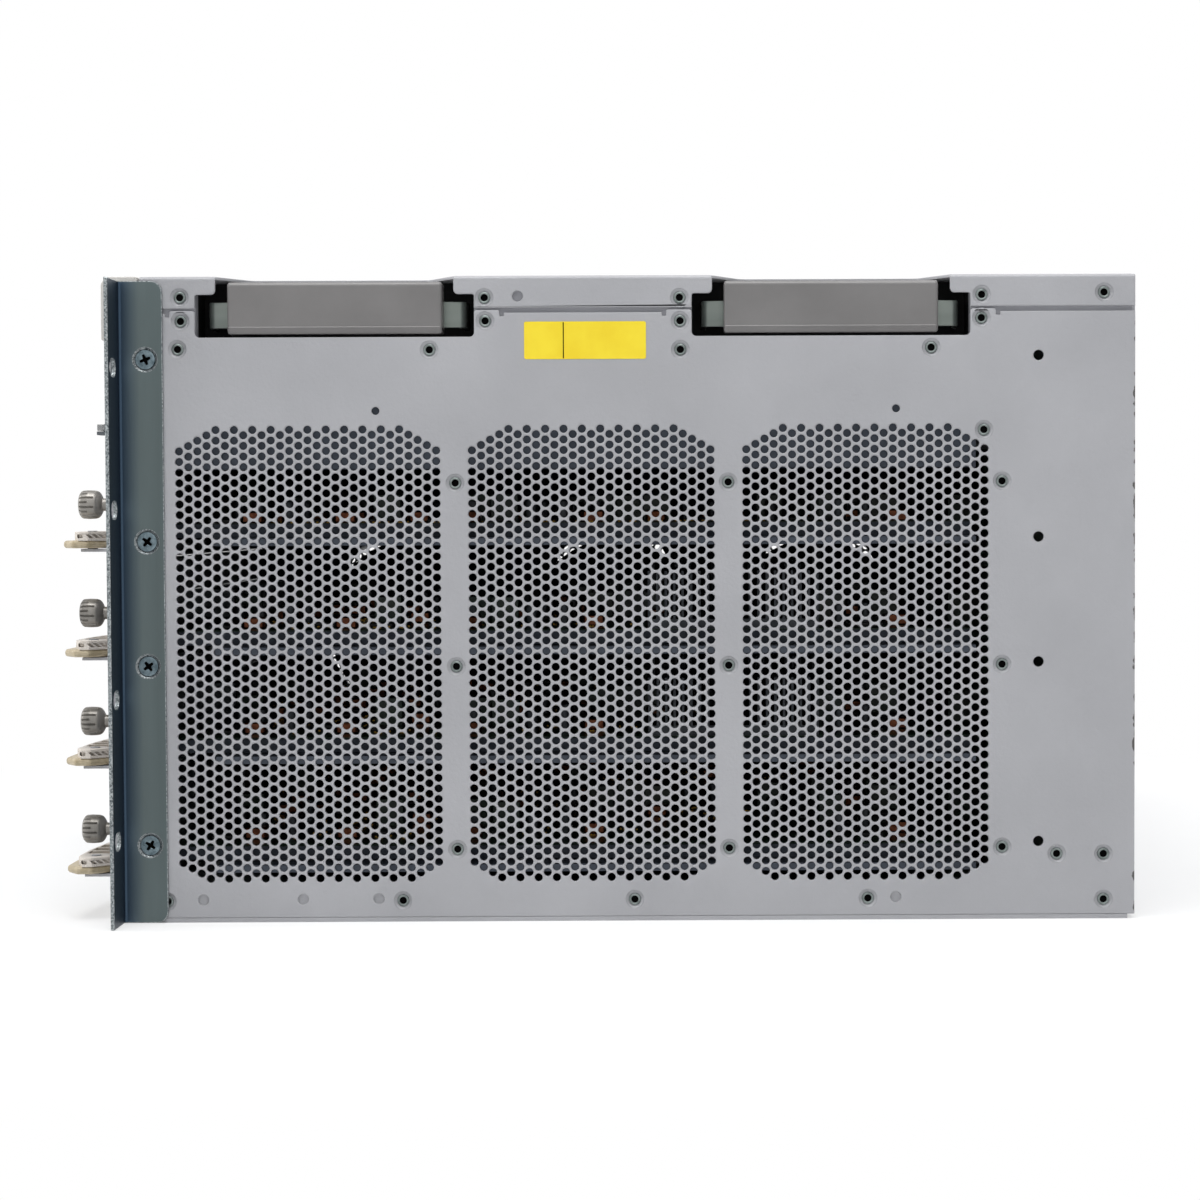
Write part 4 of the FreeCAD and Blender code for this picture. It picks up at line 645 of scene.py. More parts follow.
def panelOutline():
    top = panelHigh.z
    low = top - panel["tabDrop"]
    half = panel["recessWidth"] / 2
    bend = panel["recessCorner"]
    floor = panel["recessFloor"]
    deep = rearY - frontY
    corners = [(0, panelLow.z, 0), (deep, panelLow.z, 0), (deep, low, 0)]
    for middle in reversed(handleMiddles):
        middle = middle - frontY
        for sign in (1, -1):
            edge = middle + half * sign
            beyond = edge + panel["tabEnd"] * sign
            notch = beyond + panel["notchWidth"] * sign
            tab = [(notch, low, 0.4 * mm), (notch, low - panel["notchDepth"], 0.3 * mm),
                   (beyond, low - panel["notchDepth"], 0.3 * mm), (beyond, top, 0.8 * mm),
                   (edge, top, 1.2 * mm),
                   (edge, floor, bend)]
            if 4 * mm < beyond < deep:
                corners += tab if sign > 0 else tab[::-1]
            else:
                corners += [(edge, floor, bend), (edge, top, 1.2 * mm)]
    corners.append((0, top, 0))
    return roundedLoop(corners)


for hand, side in sides:
    holes = [circleLoop(a * mm, b * mm, panel["dimple"] / 2, 24) for a, b in panel["rivets"]]
    holes += [circleLoop(a * mm, b * mm, d * mm / 2) for a, b, d in panel["holes"]]
    holes += [circleLoop(a * mm, b * mm, 2.1 * mm) for a in panel["earRows"] for b in panel["earHoles"]]
    bm = stand(sheetMetal(panelOutline(), holes, fieldEdges, gauge, panel["rim"]), outward[hand],
               (sideX * side, frontY, 0))
    newPiece(hand + "_panel_sheet", bm, "worn", stands=[hand + "_side_panel"])
near, far, foot, top = (value * mm for value in panel["return"])
holes = [circleLoop(panel["screwX"] * mm, (z + 22.6) * mm, 4.2 * mm) for z in panel["slotFloors"]]
bm = sheetMetal(boxLoop(sideX - far, sideX - near, foot, top, 0.4 * mm), holes, [], gauge, 0.15 * mm)
newPiece("right_panel_return", stand(bm, outward["front"], (0, frontY, 0)), "worn",
         stands=["right_side_panel"])
print("side panels made")


rivet = {
    "dimple": 7.1 * mm,
    "floor": 5.3 * mm,
    "deep": 1.0 * mm,
    "head": 5.0 * mm,
    "crown": 0.6 * mm,                  # head's rise above the dimple's floor
    "bore": 3.0 * mm,
    "boreDeep": 1.15 * mm,
}
dimple = turnedTree("dimple", ["Rim", "Slope", "Floor", "Foot"], pitted=False)
blindRivet = turnedTree("blindRivet", ["Foot", "Brow", "Crown", "Lip", "Bore"])
coverRivets = [(27.3, 254.2), (150.6, 253.8), (229.7, 253.6), (352.3, 254.4), (402.0, 255.2)]
for hand, side in sides:
    floor = -rivet["deep"]
    spots = [(sideX * side, frontY + a * mm, b * mm) for a, b in panel["rivets"] + coverRivets]
    grow(hand + "_dimples", spots, dimple,
         {"Sides": 28, "Turn": facing[hand], "Finish": finish["paint"], "Pit": finish["paint"],
          "Rim Radius": rivet["dimple"] / 2, "Rim Height": -0.15 * mm,
          "Slope Radius": rivet["floor"] / 2 + 0.15 * mm,
          "Slope Height": floor * 0.85, "Floor Radius": rivet["floor"] / 2 - 0.1 * mm, "Floor Height": floor,
          "Foot Radius": rivet["head"] / 2 - 0.2 * mm, "Foot Height": floor - 0.02 * mm})
    # each rivet's bore ends in a near-black disc of painted shade
    grow(hand + "_rivets", spots, blindRivet,
         {"Sides": 24, "Turn": facing[hand], "Finish": finish["rivet"], "Pit": finish["pit"],
          "Foot Radius": rivet["head"] / 2, "Foot Height": floor, "Brow Radius": rivet["head"] * 0.46,
          "Brow Height": floor + rivet["crown"] * 0.7, "Crown Radius": rivet["head"] * 0.38,
          "Crown Height": floor + rivet["crown"], "Lip Radius": rivet["bore"] / 2,
          "Lip Height": floor + rivet["crown"] - 0.15 * mm, "Bore Radius": rivet["bore"] / 2,
          "Bore Height": -rivet["boreDeep"]})
print("rivets set")


cover = {
    "bend": 1.6 * mm,
    "step": 255.3 * mm,                 # the notch is wider below this
    "notchWidth": 96.5 * mm,
    "notchDepth": 21.0 * mm,
    "taper": 0.75,                      # its width in the top, as a share
    "screw": (164.1, 254.3, 4.3),
}


def coverOutline():                     # flat pattern: a runs from the middle of the top, b to the rear
    reach = cover["bend"] * math.pi / 2
    skirt = topZ - coverLow.z - cover["bend"] + reach       # flange, from the bend's start
    flat = sideX - cover["bend"]
    step = flat + skirt - (cover["step"] - coverLow.z)
    start, end = coverLow.y - frontY, rearY - frontY
    half, wide = cover["notchWidth"] / 2, panel["recessWidth"] / 2
    corners = []
    for sign in (1, -1):
        flank = [(flat + skirt, start, 0)]
        for middle in handleMiddles:
            middle = middle - frontY
            notch = [(flat + skirt, wide, 0), (step, wide, 1 * mm), (step, half, 1.8 * mm), (flat, half, 0),
                     (sideX - cover["notchDepth"], half * cover["taper"], 4 * mm)]
            flank += [(a, middle - b, r) for a, b, r in notch]
            flank += [(a, middle + b, r) for a, b, r in notch[::-1]]
        flank.append((flat + skirt, end, 0))
        corners += [(a * sign, b, r) for a, b, r in flank[::sign]]
    return roundedLoop(corners)


flat = sideX - cover["bend"]
holes = []
for side in (1, -1):
    for a, b, wide in [(a, b, 7.1) for a, b in coverRivets] + [cover["screw"]]:
        across = flat + cover["bend"] * math.pi / 2 + topZ - cover["bend"] - b * mm
        holes.append(circleLoop(across * side, a * mm, wide * mm / 2, 24))
bm = sheetMetal(coverOutline(), holes, [], gauge, panel["rim"])
for k in range(2):
    foldSheet(bm, flat, cover["bend"], gauge)
    bmesh.ops.scale(bm, vec=(-1, 1, 1), verts=bm.verts)
bmesh.ops.recalc_face_normals(bm, faces=bm.faces)
newPiece("cover_sheet", stand(bm, outward["up"], (0, frontY, topZ)), "paint",
         stands=["top_cover"])
print("cover folded")


ear = {
    "thick": 1.5 * mm,
    "low": 1.7 * mm,                    # its top below the cover's
    "rear": 20.5 * mm,                  # side plate's rear edge, behind the front plane
    "reach": 21.6 * mm,                 # flange beyond the panel
    "bend": 2.6 * mm,                   # outside radius
    "corner": 4.7 * mm,
    "rim": 0.35 * mm,
    "slotAcross": 12.85 * mm,           # slots beyond the panel
    "slotLong": 10.5 * mm,
    "slotWide": 7.2 * mm,
    "slots": (225.3, 168.15, 91.95, 34.8),
    "screwRow": 13.4 * mm,
    "screws": (229.1, 155.4, 104.8, 31.8),
    "sink": 9.7 * mm,
    "head": 8.0 * mm,
    "recess": 4.4 * mm,
}


def crossLoop(long, wide):
    half, thin = long / 2, wide / 2
    corners = []
    for k in range(4):
        turn = Matrix.Rotation(math.pi / 2 * k, 2)
        for a, b, r in ((half, -thin * 0.7, 0.2 * mm), (half, thin * 0.7, 0.2 * mm), (thin, thin, 0.15 * mm)):
            spot = turn @ Vector((a, b))
            corners.append((spot.x, spot.y, r))
    return roundedLoop(corners, 2)


def screwHead(width, recess):           # flat head with a cross recess, its face in the plane z = 0
    cross = crossLoop(recess, recess * 0.3)
    bm = sheetMetal(circleLoop(0, 0, width / 2, 28), [cross], [], 1.3 * mm, 0.15 * mm)
    disc = bmesh.ops.create_circle(bm, cap_ends=True, radius=recess * 0.6, segments=12)
    for vert in disc["verts"]:
        vert.co.z = -1.25 * mm
    return bm


sinkSeat = turnedTree("countersink", ["Rim", "Seat", "Well"])
plate = ear["rear"] - (earLow.y - frontY)
top = earHigh.z - ear["low"]
start = plate - ear["bend"]
turnedIn = ear["bend"] * (math.pi / 2 - 1)
for hand, side in sides:
    end = plate + turnedIn + ear["reach"] - ear["bend"]
    outline = roundedLoop([(0, earLow.z, ear["corner"]), (end, earLow.z, 0.6 * mm), (end, top, 0.6 * mm),
                           (0, top, ear["corner"])])
    across = plate + turnedIn + ear["slotAcross"] - ear["bend"]
    holes = [slotLoop(across, z * mm, ear["slotLong"], ear["slotWide"]) for z in ear["slots"]]
    holes += [circleLoop(ear["rear"] - ear["screwRow"], z * mm, ear["sink"] / 2, 24) for z in ear["screws"]]
    bm = sheetMetal(outline, holes, [], ear["thick"], ear["rim"], 1)
    foldSheet(bm, start, ear["bend"], ear["thick"], turn=-1)
    face = (sideX + ear["thick"]) * side
    stand(bm, ((0, -1, 0), (0, 0, 1), (side, 0, 0)), (face, frontY + ear["rear"], 0))
    newPiece(hand + "_ear_plate", bm, ("ear", "sheared"), stands=[hand + "_rack_ear"])
    spots = [(face - 0.2 * mm * side, frontY + ear["screwRow"], z * mm) for z in ear["screws"]]
    repeat(hand + "_ear_screw_heads", screwHead(ear["head"], ear["recess"]), "screw", spots, hand,
           stands=["ear_screws"], spread=0.9, seed=4)
    spots = [(face, frontY + ear["screwRow"], z * mm) for z in ear["screws"]]
    # each countersink's well ends in a near-black disc of painted shade
    grow(hand + "_ear_countersinks", spots, sinkSeat,
         {"Sides": 24, "Turn": facing[hand], "Finish": finish["sheared"], "Pit": finish["pit"],
          "Rim Radius": ear["sink"] / 2, "Rim Height": -0.25 * mm, "Seat Radius": ear["head"] / 2 + 0.1 * mm,
          "Seat Height": -0.8 * mm, "Well Radius": ear["head"] / 2, "Well Height": -1.3 * mm})
print("ears and their screws made")


# the CAD node's own shape with its edges broken, as moulding and folding leave them
def softened(node, key, width, segments=2):
    bm = bmesh.new()
    bm.from_mesh(frame["nodes"][node].data)
    bmesh.ops.remove_doubles(bm, verts=bm.verts, dist=1e-5)
    bmesh.ops.dissolve_limit(bm, angle_limit=math.radians(1), verts=bm.verts, edges=bm.edges)
    sharp = [e for e in bm.edges if len(e.link_faces) == 2 and e.calc_face_angle(0) > math.radians(25)]
    bmesh.ops.bevel(bm, geom=sharp, offset=width, segments=segments, profile=0.5, affect="EDGES",
                    clamp_overlap=True)
    bmesh.ops.remove_doubles(bm, verts=bm.verts, dist=1e-7)
    bmesh.ops.recalc_face_normals(bm, faces=bm.faces)
    return newPiece(node + "_soft", bm, key, bodyOf.get(node, "chassis"), [node])


knob = {
    "grooves": 18,
    "groove": 0.75 * mm,
    "long": (9.8, 15.44),               # heights ahead of the front plane
    "short": (12.28, 15.44),
    # height ahead of the front plane, radius: thread, shaft, barrel, dished front
    "rows": [(-9.0, 1.5), (-8.4, 2.1), (0.2, 2.1), (0.3, 2.9), (1.6, 2.9), (1.8, 2.5), (2.4, 2.5), (2.6, 2.9),
             (4.6, 2.9), (4.8, 2.5), (5.4, 2.5), (6.8, 2.6), (7.4, 3.8), (7.91, 4.7), (8.51, 5.3), (9.11, 5.6),
             (9.8, 5.75), (10.22, 5.8), (12.28, 5.9), (12.71, 5.9), (14.85, 5.75), (15.44, 5.4), (15.79, 5),
             (16.13, 4.5), (16.3, 4.1), (16.3, 3.6), (15.87, 3.35)],
    "cross": (6.5 * mm, 4.0 * mm),      # screwdriver's recess: its face across, its arms across
}


def grooved(column, height):
    turn = column % 8
    reach = knob["long"] if column // 8 % 2 else knob["short"]
    if not reach[0] * mm < height < reach[1] * mm + 1e-6 or turn not in (3, 4, 5):
        return 0.0
    return knob["groove"] * (1.0 if turn == 4 else 0.75)


for node in sorted(name for name in frame["nodes"] if "_screw" in name and name != "ear_screws"):
    low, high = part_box(node)
    rows = [(h * mm, r * mm) for h, r in knob["rows"]]
    bm = turned(bmesh.new(), rows, knob["grooves"] * 8, grooved)
    cross = screwHead(*knob["cross"])
    bmesh.ops.translate(cross, verts=cross.verts, vec=(0, 0, rows[-1][0] + 0.05 * mm))
    patch = bpy.data.meshes.new("cross")
    cross.to_mesh(patch)
    cross.free()
    bm.from_mesh(patch)
    stand(bm, outward["front"], ((low.x + high.x) / 2, frontY, (low.z + high.z) / 2))
    newPiece(node + "_knob", bm, "nickel", bodyOf[node], stands=[node], smooth=40)
print("thumb screws turned")


lever = {
    "base": 3.1 * mm,
    "body": 3.7 * mm,
    "lid": 0.7 * mm,
    "hollow": 2.4 * mm,
    "nose": 23.0 * mm,
    # inward from the outer end, back from the nose
    "full": [(0, 5.0, 2), (7.2, 0, 4), (27, 0, 6), (61.4, 4.6, 2.4), (61.4, 9.2, 2.4), (27, 20.6, 4),
             (9, 20.6, 3), (0, 11.6, 3)],
    "slim": [(0, 7.7, 1), (7.2, 4.7, 2), (27, 4.7, 4), (59, 7.4, 1.2), (59, 9.0, 1.2), (27, 20.4, 4),
             (9, 20.4, 2), (0, 11.6, 2)],
    "cells": [(15.8, 24.8, 6.1, 16.6), (26.2, 35.2, 6.1, 15.4), (36.6, 45.6, 7.0, 12.6)],
    "pin": (9.0, 11.6, 2.2),
    "pocket": (6.8, 9.5, 1.05, 2.65),
    "slants": (10.7, 2.1, 1.3, 1.5, 5),     # start, pitch, width, lean, count
}


def leverEnd(s):                        # how far inward the end face stands, at s behind the nose
    if s < 7.7 * mm:
        return (7.7 * mm - s) * 7.2 / 3.0
    return max(0.0, s - 11.6 * mm)


def leverStrip():                       # the upper leaf's end with its moulded ribs, wrapped round the plan
    start, pitch, wide, lean, count = (value * mm for value in lever["slants"][:4] + (0,))
    a0, a1, b0, b1 = (value * mm for value in lever["pocket"])
    holes = [boxLoop(a0, a1, b0, b1, 0.35 * mm)]
    for k in range(lever["slants"][4]):
        a = start + pitch * k
        holes.append([Vector(p) for p in ((a, b1), (a + lean, b0), (a + lean + wide, b0), (a + wide, b1))])
    top = lever["body"] - lever["lid"]
    outline = [Vector(p) for p in ((5.0 * mm, 0.0), (20.2 * mm, 0.0), (20.2 * mm, top), (5.0 * mm, top))]
    bm = sheetMetal(outline, holes, [], 1.1 * mm, 0.12 * mm)
    for place in (7.7, 11.6):
        bmesh.ops.bisect_plane(bm, geom=bm.verts[:] + bm.edges[:] + bm.faces[:], plane_co=(place * mm, 0, 0),
                               plane_no=(1, 0, 0), dist=1e-7)
    for vert in bm.verts:
        s, z, depth = vert.co
        vert.co = (leverEnd(s) - depth, s, z)
    return bm


def placed(corners, inset=0.0):
    return roundedLoop([(max(a * mm, inset) if b > 6 else a * mm, b * mm, r * mm) for a, b, r in corners], 4)


for n in range(1, 5):
    for hand in ("right", "left"):
        node = "card_%d_lever_%s" % (n, hand)
        low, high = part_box(node)
        inward = -1 if hand == "right" else 1
        place = (high.x if hand == "right" else low.x, frontY - lever["nose"], low.z)
        base = prism(bmesh.new(), placed(lever["full"]), 0, lever["base"], 1.25 * mm, 4)
        stand(base, ((inward, 0, 0), (0, 1, 0), (0, 0, 1)), place)
        newPiece(node + "_leaf", base, "leaf", bodyOf[node], stands=[node], smooth=40)
        holes = [boxLoop(a * mm, b * mm, c * mm, d * mm, 0.8 * mm) for a, b, c, d in lever["cells"]]
        a, b, radius = lever["pin"]
        holes.append(circleLoop(a * mm, b * mm, radius * mm, 24))
        upper = leverStrip()
        hollow = placed([(a, b, min(r, 1)) for a, b, r in lever["slim"]], lever["hollow"])
        rise = lever["body"] - lever["lid"]
        layers = ((placed(lever["slim"]), lever["body"], lever["lid"]), (hollow, rise, rise))
        for outline, top, thick in layers:
            layer = sheetMetal(outline, holes, [], thick, 0.3 * mm if top > rise else 0.02 * mm)
            bmesh.ops.translate(layer, verts=layer.verts, vec=(0, 0, top))
            patch = bpy.data.meshes.new("layer")
            layer.to_mesh(patch)
            layer.free()
            upper.from_mesh(patch)
        bmesh.ops.recalc_face_normals(upper, faces=upper.faces)
        stand(upper, ((inward, 0, 0), (0, 1, 0), (0, 0, 1)),
              (place[0], place[1], low.z + lever["base"] - 0.05 * mm))
        newPiece(node + "_body", upper, "lever", bodyOf[node], stands=[node])
print("levers made")


bezel = {
    "corner": 4.0 * mm,
    "gap": 0.4 * mm,
    "proud": 1.0 * mm,
}
low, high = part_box("front_bezel")
low.y -= bezel["proud"]
profile = roundedLoop([(low.y, low.z, 0.8 * mm), (high.y - bezel["gap"], low.z, 0.5 * mm),
                       (high.y - bezel["gap"], high.z, 0.5 * mm), (low.y, high.z, bezel["corner"])], 8)
bm = prism(bmesh.new(), profile, low.x, high.x, 0.5 * mm)
stand(bm, ((0, 1, 0), (0, 0, 1), (1, 0, 0)), (0, 0, 0))
newPiece("bezel_bar", bm, "bezel", stands=["front_bezel"])

# a grip's lower edge stands a little proud of its face, where the mould parted
for name in [n for n in frame["nodes"] if n.endswith("_grip")]:
    low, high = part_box(name)
    side = 1 if low.x > 0 else -1
    thick = high.x - low.x
    seam = low.z + 3.0 * mm
    top = high.z - 0.8 * mm
    corners = [(0, low.z, 0.8), (thick - 0.8 * mm, low.z, 1.0), (thick, seam - 0.3 * mm, 0.15),
               (thick - 0.3 * mm, seam, 0.1), (thick - 0.3 * mm, top, 1.9), (0, top, 0.8)]
    profile = roundedLoop([(a, b, r * mm) for a, b, r in corners], 5)
    bm = prism(bmesh.new(), profile, low.y, high.y, 1.3 * mm, 4)
    stand(bm, ((side, 0, 0), (0, 0, 1), (0, 1, 0)), (low.x if side > 0 else high.x, 0, 0))
    newPiece(name + "_moulding", bm, "grip", bodyOf[name], stands=[name], smooth=40)
for name in [n for n in frame["nodes"] if n.endswith("_strap")]:
    softened(name, "strap", 0.35 * mm, 2)
for name in [n for n in frame["nodes"] if n.endswith("_faceplate")]:
    softened(name, "paint", 0.15 * mm, 1)
# latch tabs and pull loops stand folded back, nearer to the front plane;
# the latches' pins and ears stay as made
for name in [n for n in frame["nodes"] if n.endswith(("_latch", "_case"))]:
    tab = name.endswith("_latch")
    piece = softened(name, "latch", 0.4 * mm, 2) if tab else softened(name, "steel", 0.2 * mm, 1)
    low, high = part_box(name.replace("_case", "_latch"))
    rest, keep = (-7.4, 0.12) if tab else (-2.2, 0.3)
    for vert in piece.data.vertices:
        ahead = vert.co.y - frontY - rest * mm
        beside = not tab and vert.co.x > low.x - 2 * mm and vert.co.z < high.z + 1 * mm
        if ahead < 0 and not beside:
            vert.co.y = frontY + rest * mm + ahead * keep
print("bezel, handles, latches, faceplates and cases softened")


rotor = {
    "hub": 19.9 * mm,
    "tip": 48.4 * mm,
    "blades": 9,
    "span": 52,                         # degrees that a blade covers, so that its neighbours overlap it
    "chord": 23.0 * mm,                 # front to back
    "gauge": 1.3 * mm,
    "skew": 14,                         # degrees that the tip runs ahead
}


def rotorMesh():
    rows = [(-13, 15), (-12.6, 19.5), (-12, 19.9), (10.5, 19.9), (11.8, 19.6), (12.7, 18.6), (13, 17.2),
            (13, 9.2), (12.4, 8.8), (12.4, 5)]
    bm = turned(bmesh.new(), [(h * mm, r * mm) for h, r in rows], 40)
    for k in range(rotor["blades"]):
        grid = []
        for i in range(6):
            out = i / 5
            radius = rotor["hub"] - 0.5 * mm + (rotor["tip"] - rotor["hub"] + 0.5 * mm) * out
            line = []
            for j in range(8):
                along = j / 7 - 0.5
                turn = 360 / rotor["blades"] * k + rotor["skew"] * out ** 1.5 + rotor["span"] * along
                bow = (0.25 - along * along) * 5 * mm * (1 - 0.4 * out)
                height = -rotor["chord"] * along * (1 - 0.12 * out) + bow
                line.append(bm.verts.new((radius * math.cos(math.radians(turn)),
                                          radius * math.sin(math.radians(turn)), height)))
            grid.append(line)
        faces = [bm.faces.new((grid[i][j], grid[i + 1][j], grid[i + 1][j + 1], grid[i][j + 1]))
                 for i in range(5) for j in range(7)]
        bmesh.ops.solidify(bm, geom=faces, thickness=rotor["gauge"])
    bmesh.ops.recalc_face_normals(bm, faces=bm.faces)
    return bm


for n in range(1, 4):
    node = "fan_rotor_%d" % n
    low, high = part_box(node)
    newPiece(node + "_wheel", stand(rotorMesh(), outward["left"], (low + high) / 2), "black", bodyOf[node],
             stands=[node], smooth=40)
print("rotors made")


# a CAD node whose loose parts get their own finishes, by what sort() says of each part's box
def dressParts(node, keys, sort):
    bm = bmesh.new()
    bm.from_mesh(frame["nodes"][node].data)
    bmesh.ops.remove_doubles(bm, verts=bm.verts, dist=1e-5)
    left = set(bm.faces)
    while left:
        island = [left.pop()]
        for face in island:
            for edge in face.edges:
                near = [f for f in edge.link_faces if f in left]
                left.difference_update(near)
                island += near
        spots = [v.co for f in island for v in f.verts]
        low = [min(c[k] for c in spots) for k in range(3)]
        high = [max(c[k] for c in spots) for k in range(3)]
        index = sort(low, high)
        for face in island:
            face.material_index = index
    return newPiece(node + "_sorted", bm, keys, bodyOf.get(node, "chassis"), stands=[node])


for n in range(1, 5):
    dressParts("card_%d_board" % n, ("board", "cage", "sink"),
            lambda low, high: 1 if high[1] < frontY + 30 * mm else 2 if high[2] - low[2] > 15 * mm else 0)


# black inserts with their contacts, in the mouths of the socket blocks
socket = {
    "start": 6.8 * mm,                  # first block from the card's left end
    "margins": 22.6 * mm,               # all that isn't sockets, across a card
    "gap": 3.0 * mm,
    "rise": 13.2 * mm,                  # one row
    "foot": 5.7 * mm,                   # board's top above the carrier's foot
    "back": 0.55 * mm,                  # behind the front plane
    "wall": 1.3 * mm,                   # insert's edge from the middle of the wall beside it
    "high": 8.2 * mm,
    "contact": 0.34 * mm,
    "contactPitch": 1.02 * mm,
    "contactBend": [(3.9, 0.3), (1.2, 0.3), (-1.6, 1.9)],       # up from the middle, out of the insert
}


def contactComb():                      # eight springs that rise from the foot to the mouth
    bm = bmesh.new()
    half = socket["contact"] / 2
    for k in range(8):
        x = (k - 3.5) * socket["contactPitch"]
        rows = [[bm.verts.new((x + half * sign, b * mm, c * mm)) for sign in (-1, 1)]
                for b, c in socket["contactBend"]]
        for upper, lower in zip(rows, rows[1:]):
            bm.faces.new((upper[0], lower[0], lower[1], upper[1]))
    return bm


for n in range(1, 5):
    node = "card_%d_board" % n
    low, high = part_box("card_%d_carrier" % n)
    pitch = (high.x - low.x - socket["margins"]) / 24
    start = low.x + socket["start"]
    if n in (1, 4):
        blocks = [(start + (pitch * 6 + socket["gap"]) * k, 6, 2) for k in range(4)]
    else:
        blocks = [(start, 8, 1), (start + pitch * 12, 2, 1)]
    foot = low.z + socket["foot"]
    spots = [(left + pitch * (i + 0.5), frontY + socket["back"], foot + socket["rise"] * (row + 0.5))
             for left, columns, rows in blocks for i in range(columns) for row in range(rows)]
    reach = Vector((pitch / 2 - socket["wall"], socket["high"] / 2, 0.2 * mm))
    insert = slab(-reach, reach, 0.1 * mm)
    repeat(node + "_inserts", insert, "black", spots, "front", bodyOf[node])
    repeat(node + "_contacts", contactComb(), "gold", spots, "front", bodyOf[node])
print("sockets filled")


# what stands on a card's board behind its sockets; heat sinks keep their places free
parts = {
    "cell": 13.0 * mm,
    "kept": [(120, 203, 208, 295), (-47, 37, 208, 295)],        # from, to across; from, to behind the front
    "deep": (30.0 * mm, 335.0 * mm),
    "across": (-143.0 * mm, 192.0 * mm),
    "shares": [3, 2, 4, 10, 1, 8],      # of capacitors, coils, chips, small ones, modules and bare places
}


def boardParts():
    rng = random.Random(7)
    spots = {key: [] for key in ("capacitor", "coil", "chip", "small", "module")}
    across, deep = parts["across"], parts["deep"]
    for i in range(int((across[1] - across[0]) / parts["cell"])):
        for j in range(int((deep[1] - deep[0]) / parts["cell"])):
            x = across[0] + parts["cell"] * (i + 0.5)
            y = deep[0] + parts["cell"] * (j + 0.5)
            if any(a * mm < x < b * mm and c * mm < y < d * mm for a, b, c, d in parts["kept"]):
                continue
            kinds = ["capacitor", "coil", "chip", "small", "module", None]
            kind = rng.choices(kinds, parts["shares"])[0]
            if kind == "small":
                spots[kind] += [(x + rng.uniform(-5, 5) * mm, y + rng.uniform(-5, 5) * mm) for k in range(4)]
            elif kind:
                spots[kind].append((x, y))
    return spots


def partMeshes():
    capacitor = turned(bmesh.new(), [(h * mm, r * mm) for h, r in (
        (0, 3.2), (0.8, 3.2), (1.2, 3.0), (1.6, 3.2), (8.6, 3.2), (9.2, 2.9), (9.2, 2.2), (9.0, 2.1))], 14)
    coil = slab((-4.8 * mm, -4.8 * mm, 0), (4.8 * mm, 4.8 * mm, 5 * mm), 0.7 * mm)
    chip = slab((-5.5 * mm, -5.5 * mm, 0.2 * mm), (5.5 * mm, 5.5 * mm, 1.6 * mm), 0.2 * mm)
    corners = [Vector((a * 0.8 * mm, b * 0.4 * mm)) for a, b in ((-1, -1), (1, -1), (1, 1), (-1, 1))]
    small = prism(bmesh.new(), corners, 0, 0.6 * mm, 0.08 * mm, 1)
    module = slab((-0.7 * mm, -6 * mm, 0), (0.7 * mm, 6 * mm, 12 * mm), 0.2 * mm)
    return {"capacitor": (capacitor, "sink"), "coil": (coil, "copper"), "chip": (chip, "chip"),
            "small": (small, "gold"), "module": (module, "board")}


for n in range(1, 5):
    node = "card_%d_board" % n
    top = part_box("card_%d_carrier" % n)[0].z + 5.75 * mm
    spots = boardParts()
    for kind, (bm, key) in partMeshes().items():
        repeat("card_%d_%s" % (n, kind), bm, key, [(x, frontY + y, top) for x, y in spots[kind]], "up",
               bodyOf[node], spread=0.02, seed=n)
print("boards furnished")


# lamps and air holes on the front, the holes as near-black discs of painted shade; places are from a node's
# lowest corner
front = {
    "hole": 1.5 * mm,
    "pitch": 4.3 * mm,
    "field": (74.0, 11.0, 8, 6),        # first hole across and up, columns, rows
    "supplyLamps": [(97.0, 33.0), (89.0, 33.0)],
    "cardLamps": [(350.0, 40.6), (344.0, 40.6)],
}
airHole = turnedTree("airHole", ["Rim", "Well"])
dome = [(h * mm, r * mm) for h, r in ((0, 1.6), (0.5, 1.6), (0.7, 1.3), (1.1, 1.1), (1.4, 0.6))]
for node in ("power_supply_1_case", "power_supply_2_case"):
    low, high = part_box(node)
    face = frontY - 1.8 * mm
    x0, z0, columns, rows = front["field"]
    spots = [(low.x + x0 * mm + front["pitch"] * 0.866 * i, face,
              low.z + z0 * mm + front["pitch"] * (j + i % 2 / 2))
             for i in range(columns) for j in range(rows - i % 2)]
    grow(node + "_air_holes", spots, airHole,
         {"Sides": 14, "Turn": facing["front"], "Finish": finish["steel"], "Pit": finish["pit"],
          "Rim Radius": front["hole"] + 0.15 * mm, "Rim Height": 0.12 * mm, "Well Radius": front["hole"],
          "Well Height": 0.03 * mm}, bodyOf[node])
    repeat(node + "_lamps", turned(bmesh.new(), dome, 14), "lens",
           [(low.x + a * mm, face, low.z + b * mm) for a, b in front["supplyLamps"]], "front", bodyOf[node])
for n in range(1, 5):
    node = "card_%d_faceplate" % n
    low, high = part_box(node)
    repeat(node + "_lamps", turned(bmesh.new(), dome, 14), "lens",
           [(low.x + a * mm, frontY - 1.8 * mm, low.z + b * mm) for a, b in front["cardLamps"]], "front",
           bodyOf[node])
print("front dressed")


